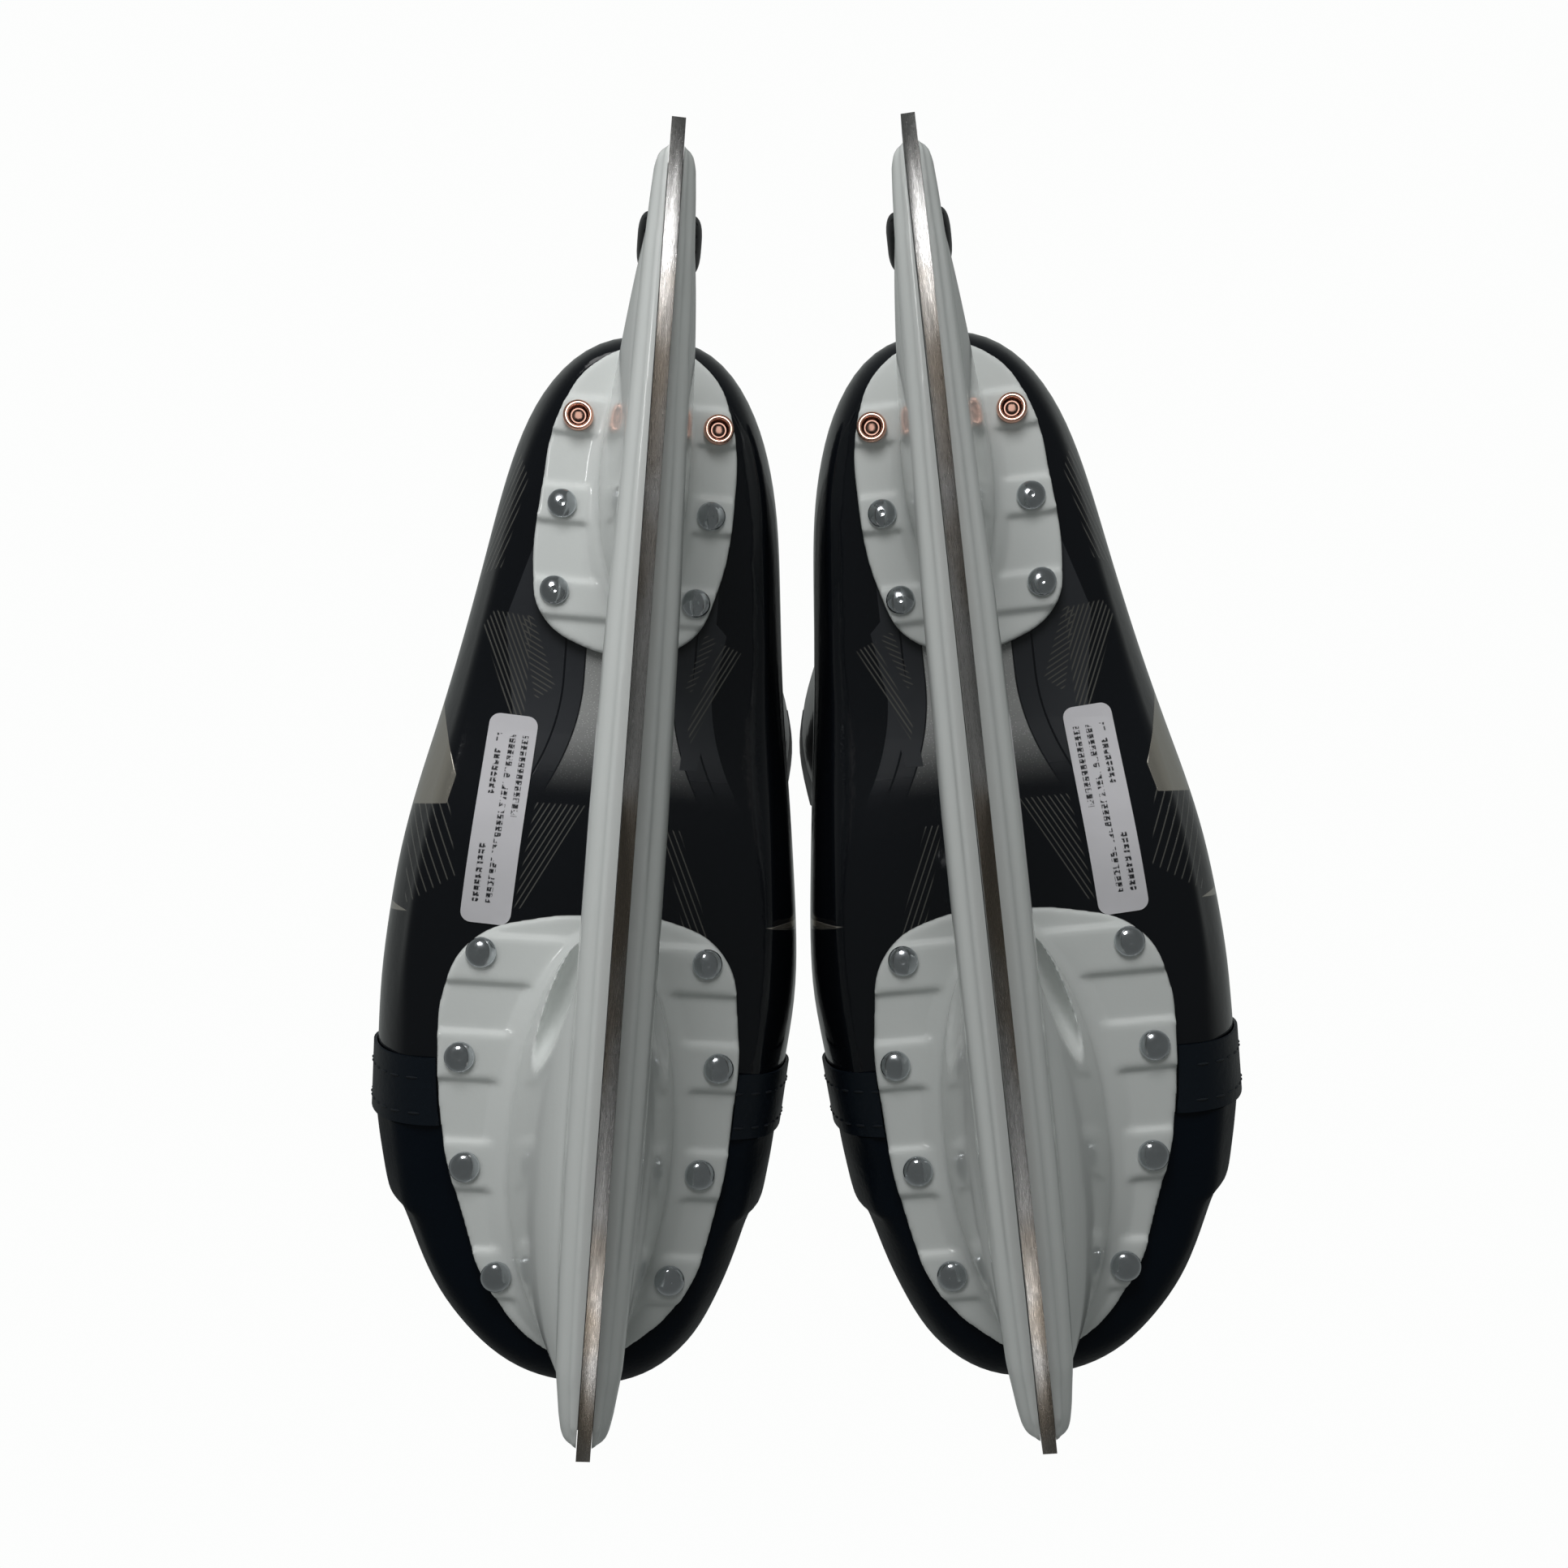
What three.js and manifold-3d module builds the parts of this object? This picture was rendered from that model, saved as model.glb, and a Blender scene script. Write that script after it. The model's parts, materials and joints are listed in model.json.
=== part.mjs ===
// A pair of ice hockey skates: two mirrored skates standing on their runners, toes towards -Y.
// Millimetres, +Z up. One skate is modelled as a left skate in its own frame (x to the outer side,
// y to the heel, z up, origin under the middle of the runner) and mirrored for the right one.

import * as THREE from 'three';
import Module from 'manifold-3d';

const wasm = await Module();
wasm.setup();

// ---------------------------------------------------------------- driving dimensions, mm
const BOOT_LENGTH = 275;         // toe to heel over the upper
const FOREFOOT_WIDTH = 108;      // across the ball of the foot
const FRONT_SOLE_Z = 62;         // underside of the sole at the ball of the foot
const HEEL_SOLE_Z = 81;          // underside of the sole at the heel
const CUFF_HEIGHT = 161;         // front corner of the cuff above the forefoot sole
const GUARD_HEIGHT = 46;         // tendon guard above the cuff
const SHELL_WALL = 2.4;
const FLOOR_THICKNESS = 3;       // sole of the shell and of the toe cap
const LINER_THICKNESS = 4;
const FOOTBED_THICKNESS = 3;
const TONGUE_THICKNESS = 7;
const FACING_WIDTH = 15;
const EYELET_RADIUS = 2.1;
const EYELET_COUNT = 7;          // on each facing
const STRIP_THICKNESS = 0.8;
const LABEL_WIDTH = 12;
const LABEL_LENGTH = 52;
const LABEL_THICKNESS = 0.3;

const PLATE_THICKNESS = 3.7;     // holder plate at its raised rivet bands
const POCKET_DEPTH = 1.3;        // hollow between two bands
const RAIL_BOTTOM_Z = 12;
const RAIL_TOP_Z = 28;
const RUNNER_LENGTH = 283.5;
const RUNNER_THICKNESS = 3;
const RUNNER_TOP_Z = 24.5;
const RUNNER_TIP_RISE = 12;      // how far each end of the runner curves up
const HOOK_Z = 34;               // height of the front pin and of the rear dial's shaft
const PIN_RADIUS = 2;
const PIN_LENGTH = 9.4;
const DIAL_RADIUS = 6.5;
const DIAL_LENGTH = 14.6;
const DIAL_SHAFT_RADIUS = 2.4;
const DIAL_RIDGES = 10;
const DIAL_GROOVE_RADIUS = 0.5;

const RIVET_HEAD_RADIUS = 3.55;
const RIVET_HEAD_HEIGHT = 1.8;
const RIVET_SHANK_RADIUS = 1.6;
const RIVET_CLINCH_RADIUS = 2.5;
const RIVET_CLINCH_HEIGHT = 0.9;
const TUBE_RIVET_HEAD_RADIUS = 3.8;
const TUBE_RIVET_BORE_RADIUS = 1.9;

const CLEARANCE = 0.3;           // between two pieces that touch

const STAND_OFFSET = 35.33;      // blade line to the middle of the pair
const SPLAY = THREE.MathUtils.degToRad(5.08);   // toes turned outwards
const LEAN = THREE.MathUtils.degToRad(6);       // tops leaned outwards

// ---------------------------------------------------------------- places that follow the sizes
const DRAWN_LENGTH = 275;        // the outlines below are drawn at this length and width
const DRAWN_WIDTH = 108;
const DRAWN_RUNNER = 283.5;
const DRAWN_CUFF = 161;
const along = (y) => y * BOOT_LENGTH / DRAWN_LENGTH;
const across = (x) => x * FOREFOOT_WIDTH / DRAWN_WIDTH;
const onRail = (y) => y * RUNNER_LENGTH / DRAWN_RUNNER;
const upper = (rise) => FRONT_SOLE_Z + rise * CUFF_HEIGHT / DRAWN_CUFF;
const point = (x, y, rise) => new THREE.Vector3(across(x), along(y), upper(rise));
const plan = (x, y) => new THREE.Vector3(across(x), along(y), 0);

const SEAM_Y = along(-84);       // where the shell meets the toe cap
const RAMP_FRONT_Y = along(-30); // the sole climbs from here...
const RAMP_HEEL_Y = along(33);   // ...to here
const SPINE_TOE_Y = along(-112); // centre of the toe's round end
const SPINE_HEEL_Y = along(82);  // centre of the heel's round end
const SOLE_SHARE = 0.74;         // the flat of the sole, as a share of the upper's half width
const COLUMNS = 14;              // shell columns on one side, front to heel
const TOE_COLUMNS = 10;
const SOLE_STRIPS = 3;

const TONGUE_GAP = 1;            // tongue's edge to the throat's edge
const TONGUE_HALF_WIDTH = 38;
const TONGUE_ARCH = 9;           // how far the tongue's edges lie behind its middle
const EYELET_FIRST = 0.3;        // shares of the throat's length
const EYELET_LAST = 0.93;
const LABEL_X = 31;
const LABEL_Y = -9.6;
const LABEL_TURN = THREE.MathUtils.degToRad(3);
const BAND_HALF_WIDTH = 5.8;

const PIN_Y = along(-84);
const HOOK_HALF = 5.2;           // runner hook, half its width
const HOOK_TOP_Z = HOOK_Z + 3.5;
const SLOT_HALF = RUNNER_THICKNESS / 2 + CLEARANCE + 0.05;
const DIAL_WEB = SLOT_HALF + 1.3;   // wall of the tower between the slot and a knob
const DIAL_Y = onRail(122.5);
const RUNNER_END_Y = RUNNER_LENGTH / 2;

const { smoothstep, lerp } = THREE.MathUtils;
const soleZ = (y) => lerp(FRONT_SOLE_Z, HEEL_SOLE_Z, smoothstep(y, RAMP_FRONT_Y, RAMP_HEEL_Y));
const TOE_BELLY = 24;            // height of the boot's widest line above the sole at the toe,
const BALL_BELLY = 33;           // at the ball of the foot
const HEEL_BELLY = 28;           // and at the heel
const bellyRise = (y) => TOE_BELLY + (BALL_BELLY - TOE_BELLY) * smoothstep(y, along(-150), along(-84))
  - (BALL_BELLY - HEEL_BELLY) * smoothstep(y, 0, along(90));
const FOREFOOT_OFFSET = 6.5;     // the boot's middle lies this far to the outer side at the forefoot...
const HEEL_OFFSET = 1;           // ...this far at the heel...
const TOE_OFFSET = 1.5;          // ...and this far at the toe
const centreX = (y) => across(FOREFOOT_OFFSET
  - (FOREFOOT_OFFSET - HEEL_OFFSET) * smoothstep(y, along(-60), along(90))
  - (FOREFOOT_OFFSET - TOE_OFFSET) * smoothstep(-y, along(95), along(150)));

// ---------------------------------------------------------------- materials
const finish = (color, roughness, metalness = 0) =>
  new THREE.MeshStandardMaterial({ color, roughness, metalness });
const WHITE_PLASTIC = finish(0xe4e7e6, 0.25);
const BLACK_GLOSS = finish(0x14161a, 0.2);
const NAVY_MATTE = finish(0x141c26, 0.7);
const BLACK_PLASTIC = finish(0x16181a, 0.45);
const FELT = finish(0x2a2c30, 0.95);
const LINING = finish(0x232529, 0.9);
const FOAM = finish(0x3a3d42, 0.95);
const STEEL = finish(0x8c8c8a, 0.3, 1);
const ZINC = finish(0xb9bcc0, 0.2, 1);
const COPPER = finish(0xc77a5c, 0.25, 1);
const PAPER = finish(0xd8d8da, 0.5);

// ---------------------------------------------------------------- making closed meshes
/** Collects quads and triangles of shared vertices, and drops those with no area. */
class Skin {
  constructor() {
    this.positions = [];
    this.triangles = [];
    this.places = new Map();
  }

  vertex(p) {
    const key = `${p.x.toFixed(4)},${p.y.toFixed(4)},${p.z.toFixed(4)}`;
    if (!this.places.has(key)) {
      this.places.set(key, this.positions.length / 3);
      this.positions.push(p.x, p.y, p.z);
    }
    return this.places.get(key);
  }

  triangle(a, b, c) {
    const [i, j, k] = [a, b, c].map((p) => this.vertex(p));
    if (i !== j && j !== k && k !== i) this.triangles.push(i, j, k);
  }

  /** A patch of quads, split along one diagonal; its front side is where i x j points. */
  patch(rows, flip = false, otherDiagonal = false) {
    for (let i = 0; i + 1 < rows.length; i += 1) {
      for (let j = 0; j + 1 < rows[i].length; j += 1) {
        const corners = [rows[i][j], rows[i + 1][j], rows[i + 1][j + 1], rows[i][j + 1]];
        if (otherDiagonal) corners.push(corners.shift());
        const [a, b, c, d] = corners;
        if (flip) {
          this.triangle(a, c, b);
          this.triangle(a, d, c);
        } else {
          this.triangle(a, b, c);
          this.triangle(a, c, d);
        }
      }
    }
    return this;
  }

  /** A flat or domed end: a fan from the middle of a closed ring. */
  fan(ring, flip = false) {
    const middle = ring.reduce((sum, p) => sum.add(p), new THREE.Vector3()).divideScalar(ring.length);
    ring.forEach((p, i) => {
      const q = ring[(i + 1) % ring.length];
      if (flip) this.triangle(middle, q, p);
      else this.triangle(middle, p, q);
    });
    return this;
  }

  solid() {
    return new wasm.Manifold(new wasm.Mesh({
      numProp: 3,
      vertProperties: new Float32Array(this.positions),
      triVerts: new Uint32Array(this.triangles),
    }));
  }
}

/** A solid whose faces may all point inwards is turned the right way out. */
function outward(skin) {
  const solid = skin.solid();
  if (solid.volume() > 0) return solid;
  for (let t = 0; t < skin.triangles.length; t += 3) {
    const [b, c] = [skin.triangles[t + 1], skin.triangles[t + 2]];
    skin.triangles[t + 1] = c;
    skin.triangles[t + 2] = b;
  }
  return skin.solid();
}

/** The solid of a three.js geometry. */
function solidOf(geometry) {
  const skin = new Skin();
  const flat = geometry.index ? geometry.toNonIndexed() : geometry;
  const place = flat.getAttribute('position');
  const read = (i) => new THREE.Vector3().fromBufferAttribute(place, i);
  for (let i = 0; i < place.count; i += 3) skin.triangle(read(i), read(i + 1), read(i + 2));
  return outward(skin);
}

/** The three.js geometry of a solid. */
function geometryOf(solid) {
  const mesh = solid.getMesh();
  const geometry = new THREE.BufferGeometry();
  geometry.setAttribute('position', new THREE.BufferAttribute(mesh.vertProperties, 3));
  geometry.setIndex(new THREE.BufferAttribute(mesh.triVerts, 1));
  geometry.computeVertexNormals();
  return geometry;
}

/** A sheet with a thickness: outer and inner points of one grid, joined by their four edges. */
function sheet(outer, inner) {
  const last = outer.length - 1;
  const skin = new Skin();
  skin.patch(outer).patch(inner, true);
  skin.patch([outer[0], inner[0]], true).patch([outer[last], inner[last]]);
  const edge = (grid, j) => grid.map((row) => row[j]);
  const end = outer[0].length - 1;
  skin.patch([edge(outer, 0), edge(inner, 0)]).patch([edge(outer, end), edge(inner, end)], true);
  return outward(skin);
}

/** A loft through closed rings, with a fan over each end. */
function loft(rings) {
  const closed = rings.map((ring) => [...ring, ring[0]]);
  const skin = new Skin();
  skin.patch(closed).fan(rings[0]).fan(rings[rings.length - 1], true);
  return outward(skin);
}

/** A plan outline through its points, smooth, pushed from z0 up to z1. */
function prism(points, z0, z1, divisions, grow = 0) {
  const curve = new THREE.CatmullRomCurve3(points, true, 'centripetal');
  const ring = curve.getSpacedPoints(divisions).slice(0, divisions);
  const middle = ring.reduce((sum, p) => sum.add(p), new THREE.Vector3()).divideScalar(ring.length);
  const moved = ring.map((p) => p.clone().add(p.clone().sub(middle).setLength(grow)));
  const level = (z) => moved.map((p) => new THREE.Vector3(p.x, p.y, z));
  return loft([level(z0), level(z1)]);
}

function box(x0, x1, y0, y1, z0, z1) {
  const geometry = new THREE.BoxGeometry(x1 - x0, y1 - y0, z1 - z0);
  return solidOf(geometry.translate((x0 + x1) / 2, (y0 + y1) / 2, (z0 + z1) / 2));
}

/** An upright round pin, its lower end at z0. */
function post(x, y, z0, z1, radius, sides = 6) {
  const geometry = new THREE.CylinderGeometry(radius, radius, z1 - z0, sides).rotateX(Math.PI / 2);
  return solidOf(geometry.translate(x, y, (z0 + z1) / 2));
}

/** A round pin lying across the skate, from x0 to x1. */
function crossPost(x0, x1, y, z, radius, sides = 20) {
  const geometry = new THREE.CylinderGeometry(radius, radius, x1 - x0, sides).rotateZ(Math.PI / 2);
  return solidOf(geometry.translate((x0 + x1) / 2, y, z));
}

/** Grid normals by the differences between neighbours; the front side is i x j. */
function normals(grid) {
  const clamp = (k, n) => Math.min(Math.max(k, 0), n - 1);
  return grid.map((row, i) => row.map((_, j) => {
    const di = grid[clamp(i + 1, grid.length)][j].clone().sub(grid[clamp(i - 1, grid.length)][j]);
    const dj = row[clamp(j + 1, row.length)].clone().sub(row[clamp(j - 1, row.length)]);
    return di.cross(dj).normalize();
  }));
}

/** The grid moved along its normals; the push may differ from place to place. */
function offset(grid, push) {
  const directions = normals(grid);
  return grid.map((row, i) => row.map((p, j) =>
    p.clone().addScaledVector(directions[i][j], typeof push === 'function' ? push(i, j) : push)));
}

// ---------------------------------------------------------------- the shape of the boot
/** A level line of the boot: inner side front, round the heel, to the outer side front. */
class LevelLine {
  constructor(points, heelIndex) {
    this.curve = new THREE.CatmullRomCurve3(points, false, 'centripetal');
    this.curve.arcLengthDivisions = 600;
    const lengths = this.curve.getLengths(600);
    this.heel = lengths[Math.round(600 * heelIndex / (points.length - 1))] / lengths[600];
  }

  /** s runs from 0 at the inner front, 1 at the heel, to 2 at the outer front. */
  at(s) {
    const u = s <= 1 ? this.heel * s : this.heel + (1 - this.heel) * (s - 1);
    return this.curve.getPointAt(Math.min(Math.max(u, 0), 1));
  }
}

const BELLY = new LevelLine([
  plan(-44.6, -84), plan(-46, -66), plan(-47.3, -48), plan(-45, -21), plan(-41.3, 18), plan(-38, 48),
  plan(-34.6, 76), plan(-27, 101), plan(-15, 115.6), plan(1, 119.6),
  plan(17, 116.2), plan(30.5, 102), plan(38, 80), plan(44.3, 49), plan(50.8, 17.6),
  plan(56.5, -15), plan(59.4, -49), plan(59.2, -68), plan(58.6, -84),
], 9);

const ANKLE = new LevelLine([
  point(-31, -84, 57), point(-34, -66, 62), point(-38, -40, 76), point(-41, -12, 95), point(-40, 20, 100),
  point(-34, 55, 92), point(-27, 83, 88), point(-15, 105, 86), point(0.5, 110.5, 86),
  point(16, 105, 86), point(29, 83, 88), point(37, 55, 92), point(45, 20, 100),
  point(49, -12, 95), point(50, -40, 76), point(47, -66, 62), point(44.5, -84, 57),
], 8);

const THROAT_INNER = new THREE.CatmullRomCurve3([
  point(5.2, -84, 69), point(5, -68, 73), point(-7, -58, 77), point(-15, -42, 92), point(-29, -23, 118),
  point(-46, -11, 146), point(-54.8, -4, 161),
], false, 'centripetal');
const THROAT_OUTER = new THREE.CatmullRomCurve3([
  point(7.2, -84, 69), point(7.4, -68, 73), point(19, -58, 77), point(27, -42, 92), point(38, -23, 118),
  point(49, -11, 146), point(54, -4, 161),
], false, 'centripetal');
const CUFF = new LevelLine([
  point(-54.8, -4, 161), point(-56.8, 8, 163), point(-55, 25, 161), point(-46, 48, 157), point(-34, 74, 154),
  point(-19, 96, 153), point(0.5, 104, 153),
  point(20, 96, 153), point(35, 74, 154), point(46, 48, 157), point(54, 25, 161), point(56, 8, 163),
  point(54, -4, 161),
], 6);

const CORNER = 0.5;              // s of the cuff's front corner, from the front seam to the heel

/** The upper edge of the boot at s. */
function topEdge(s) {
  if (s <= CORNER) return THROAT_INNER.getPointAt(s / CORNER);
  if (s >= 2 - CORNER) return THROAT_OUTER.getPointAt((2 - s) / CORNER);
  return CUFF.at((s - CORNER) / (1 - CORNER));
}

/** The point of the spine that a place on the outline shrinks towards. */
function spineFor(y) {
  const clamped = Math.min(Math.max(y, SPINE_TOE_Y), SPINE_HEEL_Y);
  return new THREE.Vector2(centreX(clamped), clamped);
}

/** Sole edge to belly: a quarter ellipse, share 0 at the sole and 1 at the belly. */
function lowerWall(outline, spine, share) {
  const angle = share * Math.PI / 2;
  const reach = SOLE_SHARE + (1 - SOLE_SHARE) * Math.sin(angle);
  const x = lerp(spine.x, outline.x, reach);
  const y = lerp(spine.y, outline.y, reach);
  return new THREE.Vector3(x, y, soleZ(y) + bellyRise(outline.y) * (1 - Math.cos(angle)));
}

const LINER_FIRST_ROW = 2;       // the liner starts above the footbed
const LOWER_STEPS = 3;
const UPPER_STEPS = 5;
const WALL_STEPS = LOWER_STEPS + UPPER_STEPS;

/** One column of the wall at s, from t = 0 at the sole edge to t = 1 at the top edge. */
function wallPoint(s, t) {
  const outline = BELLY.at(s);
  const spine = spineFor(outline.y);
  const split = LOWER_STEPS / WALL_STEPS;
  if (t <= split) return lowerWall(outline, spine, t / split);
  const belly = lowerWall(outline, spine, 1);
  const low = lowerWall(outline, spine, 0.6);
  const curve = new THREE.CatmullRomCurve3([low, belly, ANKLE.at(s), topEdge(s)], false, 'centripetal');
  const share = (t - split) / (1 - split);
  return curve.getPoint((1 + 2 * share) / 3);
}

/** The t of the place that lies a distance below the top edge, measured down the wall at s. */
function below(s, distance) {
  const step = 0.01;
  let t = 1;
  let left = distance;
  while (t > step) {
    const length = wallPoint(s, t).distanceTo(wallPoint(s, t - step));
    if (length >= left) return t - step * left / length;
    left -= length;
    t -= step;
  }
  return t;
}

const CORNER_COLUMN = CORNER * COLUMNS;
/** How much of the facing's width is left at a column: it ends within two columns of the corner. */
const facingShare = (column) => THREE.MathUtils.clamp((CORNER_COLUMN + 2 - column) / 2, 0, 1);

/** How high on the wall the shell reaches: it stops where a facing begins. */
function shellTop(s) {
  const side = s <= 1 ? s : 2 - s;
  return below(s, FACING_WIDTH * facingShare(side * COLUMNS));
}

/** A grid over the wall: columns from s0 to s1, rows from bottom(s) to top(s). */
function wallGrid(s0, s1, columns, rows, bottom, top) {
  return Array.from({ length: columns + 1 }, (_, i) => {
    const s = lerp(s0, s1, i / columns);
    return Array.from({ length: rows + 1 }, (_, j) => wallPoint(s, lerp(bottom(s), top(s), j / rows)));
  });
}

/** The strip of sole between two matching columns of a wall, from the inner to the outer side. */
function soleGrid(wall) {
  const half = (wall.length - 1) / 2;
  return Array.from({ length: half + 1 }, (_, j) => {
    const inner = wall[j][0];
    const outer = wall[2 * half - j][0];
    return Array.from({ length: SOLE_STRIPS + 1 }, (_, b) => inner.clone().lerp(outer, b / SOLE_STRIPS));
  });
}

/** A wall with a sole and an open front or rear: walls, floor, upper rim and end rim. */
function cup(outerWall, innerWall, openTop) {
  const outerSole = soleGrid(outerWall);
  const innerSole = soleGrid(innerWall);
  const skin = new Skin();
  skin.patch(outerWall).patch(innerWall, true).patch(outerSole, true).patch(innerSole);
  const top = outerWall[0].length - 1;
  if (openTop) skin.patch([outerWall.map((c) => c[top]), innerWall.map((c) => c[top])], true);
  const rim = (wall, sole) => [...wall[0]].reverse().concat(sole[0].slice(1), wall[wall.length - 1].slice(1));
  skin.patch([rim(outerWall, outerSole), rim(innerWall, innerSole)]);
  return outward(skin);
}

/** The wall's inner face: the floor is thicker than the wall. inwards is 1 where i x j points in. */
function innerFace(wall, inwards) {
  const directions = normals(wall);
  return wall.map((column, i) => column.map((p, j) => (j === 0
    ? p.clone().add(new THREE.Vector3(0, 0, FLOOR_THICKNESS))
    : p.clone().addScaledVector(directions[i][j], inwards * SHELL_WALL))));
}

// ---------------------------------------------------------------- rivets
const FRONT_ROWS = [
  { outer: [32.3, -41.4], inner: [-21.6, -41.1] },
  { outer: [35.6, -66.5], inner: [-26.1, -66.1] },
  { outer: [32.6, -92.5], inner: [-23.4, -91.9] },
  { outer: [23.4, -118.3], inner: [-17.9, -117.7] },
];
const HEEL_ROWS = [
  { outer: [22.2, 48], inner: [-13.4, 47.5] },
  { outer: [21.8, 69.8], inner: [-15.7, 69.8] },
  { outer: [19.3, 92], inner: [-16, 91.7], hollow: true },
];

const RIVETS = [];
for (const [place, rows, sole] of [['front', FRONT_ROWS, FRONT_SOLE_Z], ['heel', HEEL_ROWS, HEEL_SOLE_Z]]) {
  rows.forEach((row, i) => {
    for (const side of ['outer', 'inner']) {
      const [x, y] = row[side];
      const name = `${place}_rivet_${side}_${i + 1}`;
      RIVETS.push({ name, x: across(x), y: along(y), sole, hollow: row.hollow === true });
    }
  });
}

/** A rivet as a turned profile: head under the plate, shank, and clinched end above the floor. */
function rivet({ x, y, sole, hollow }) {
  const seat = sole - CLEARANCE - PLATE_THICKNESS - CLEARANCE;
  const clinch = sole + FLOOR_THICKNESS + CLEARANCE;
  const end = clinch + RIVET_CLINCH_HEIGHT;
  const head = hollow ? TUBE_RIVET_HEAD_RADIUS : RIVET_HEAD_RADIUS;
  const tip = seat - RIVET_HEAD_HEIGHT;
  const bore = RIVET_SHANK_RADIUS / 2;
  const profile = hollow
    ? [[bore, tip + 1.2], [TUBE_RIVET_BORE_RADIUS, tip + 0.1], [head * 0.8, tip], [head, tip + 0.9],
      [head, seat], [RIVET_SHANK_RADIUS, seat], [RIVET_SHANK_RADIUS, clinch], [RIVET_CLINCH_RADIUS, clinch],
      [RIVET_CLINCH_RADIUS, end], [bore, end], [bore, tip + 1.2]]
    : [[0, tip], [head * 0.6, tip + 0.35], [head, seat - 0.4], [head, seat], [RIVET_SHANK_RADIUS, seat],
      [RIVET_SHANK_RADIUS, clinch], [RIVET_CLINCH_RADIUS, clinch], [RIVET_CLINCH_RADIUS, end], [0, end]];
  const lathe = new THREE.LatheGeometry(profile.map(([r, z]) => new THREE.Vector2(r, z)), 7);
  return solidOf(lathe.rotateX(Math.PI / 2).translate(x, y, 0));
}

/** The holes that the rivets pass through, with clearance, between two heights. */
function rivetHoles(rivets, z0, z1) {
  return rivets.map(({ x, y }) => post(x, y, z0, z1, RIVET_SHANK_RADIUS + CLEARANCE + 0.1));
}

const cutAll = (solid, cutters) => cutters.reduce((left, cutter) => left.subtract(cutter), solid);
const joinAll = (solids) => solids.reduce((sum, solid) => sum.add(solid));

// ---------------------------------------------------------------- boot pieces
const FRONT_PLATE = [
  plan(0, -31.4), plan(20, -33), plan(35, -39.2), plan(40.9, -52), plan(41, -66), plan(38.7, -85),
  plan(33, -103.5), plan(25.5, -121), plan(12, -135.6), plan(0, -139), plan(-12, -133), plan(-22, -121.5),
  plan(-28, -101.5), plan(-30.6, -78), plan(-30.3, -56), plan(-25.5, -39.2), plan(-12, -31.9),
];
const HEEL_PLATE = [
  plan(1, 33), plan(14, 34.4), plan(25, 41.6), plan(28, 53), plan(27.3, 72), plan(24.6, 91.5),
  plan(16, 106.3), plan(0, 111.8), plan(-13, 106.5), plan(-20, 92), plan(-21.5, 72), plan(-18.5, 50),
  plan(-12.5, 37.8),
];

/** The end columns of a wall are brought onto the seam between the shell and the toe cap. */
function squareEnds(walls, y) {
  for (const wall of walls) {
    for (const column of [wall[0], wall[wall.length - 1]]) column.forEach((p) => { p.y = y; });
  }
}

function makeShell() {
  const wall = wallGrid(0, 2, 2 * COLUMNS, WALL_STEPS, () => 0, shellTop);
  const inner = innerFace(wall, 1);
  squareEnds([wall, inner], SEAM_Y);
  const body = cup(wall, inner, true);
  const holes = RIVETS.filter(({ y }) => y > SEAM_Y);
  return cutAll(body, [
    ...rivetHoles(holes.filter(({ sole }) => sole === FRONT_SOLE_Z), FRONT_SOLE_Z - 2, FRONT_SOLE_Z + 6),
    ...rivetHoles(holes.filter(({ sole }) => sole === HEEL_SOLE_Z), HEEL_SOLE_Z - 2, HEEL_SOLE_Z + 6),
  ]);
}

const TOE_OUTLINE = new LevelLine([
  plan(-44.6, -84.3), plan(-43.6, -94.5), plan(-41.6, -104.8), plan(-38.4, -115.5), plan(-34, -127.5),
  plan(-28.6, -138), plan(-21, -146), plan(-11, -151), plan(1, -152),
  plan(12, -150.6), plan(24, -145.4), plan(34.6, -136.4), plan(42.4, -126.6), plan(48.8, -114.5),
  plan(53.4, -104.8), plan(56.5, -94.5), plan(58.6, -84.3),
], 8);
const LAYER_STEP_Y = along(-105.5);
const LAYER_THICKNESS = 1.8;     // the upper's edge stands proud of the bare toe cup by this much
const CROWN_FRONT_RISE = 60;     // crown of the toe cup above the sole at the centre of its round end
const CROWN_REAR_RISE = 69;

/** One column of the toe cup: s from 0 to 2 round the toe, t from the sole edge to the crown. */
function toePoint(s, t, spine) {
  const raw = TOE_OUTLINE.at(s);
  const layer = LAYER_THICKNESS * smoothstep(raw.y, LAYER_STEP_Y - 1, LAYER_STEP_Y + 1);
  const outward2 = new THREE.Vector2(raw.x - spine.x, raw.y - spine.y);
  outward2.setLength(outward2.length() + layer - LAYER_THICKNESS);
  const outline = new THREE.Vector3(spine.x + outward2.x, spine.y + outward2.y, 0);
  const split = LOWER_STEPS / WALL_STEPS;
  if (t <= split) return lowerWall(outline, spine, t / split);
  const angle = (t - split) / (1 - split) * Math.PI / 2;
  const belly = lowerWall(outline, spine, 1).z;
  const crownShare = smoothstep(spine.y, SPINE_TOE_Y, SEAM_Y);
  const crown = upper(lerp(CROWN_FRONT_RISE, CROWN_REAR_RISE, crownShare));
  const reach = Math.cos(angle) ** 0.85;
  return new THREE.Vector3(
    lerp(spine.x, outline.x, reach),
    lerp(spine.y, outline.y, reach),
    lerp(belly, crown, Math.sin(angle)),
  );
}

const STEP_START = 0.215;        // shares of the toe's outline just before and just behind its step
const STEP_END = 0.245;
const STEP_COLUMN = 3;

/** The share of the toe's outline at a column: two columns lie close together at the step. */
function toeShare(column) {
  if (column <= STEP_COLUMN) return STEP_START * column / STEP_COLUMN;
  return lerp(STEP_END, 1, (column - STEP_COLUMN - 1) / (TOE_COLUMNS - STEP_COLUMN - 1));
}

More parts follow.
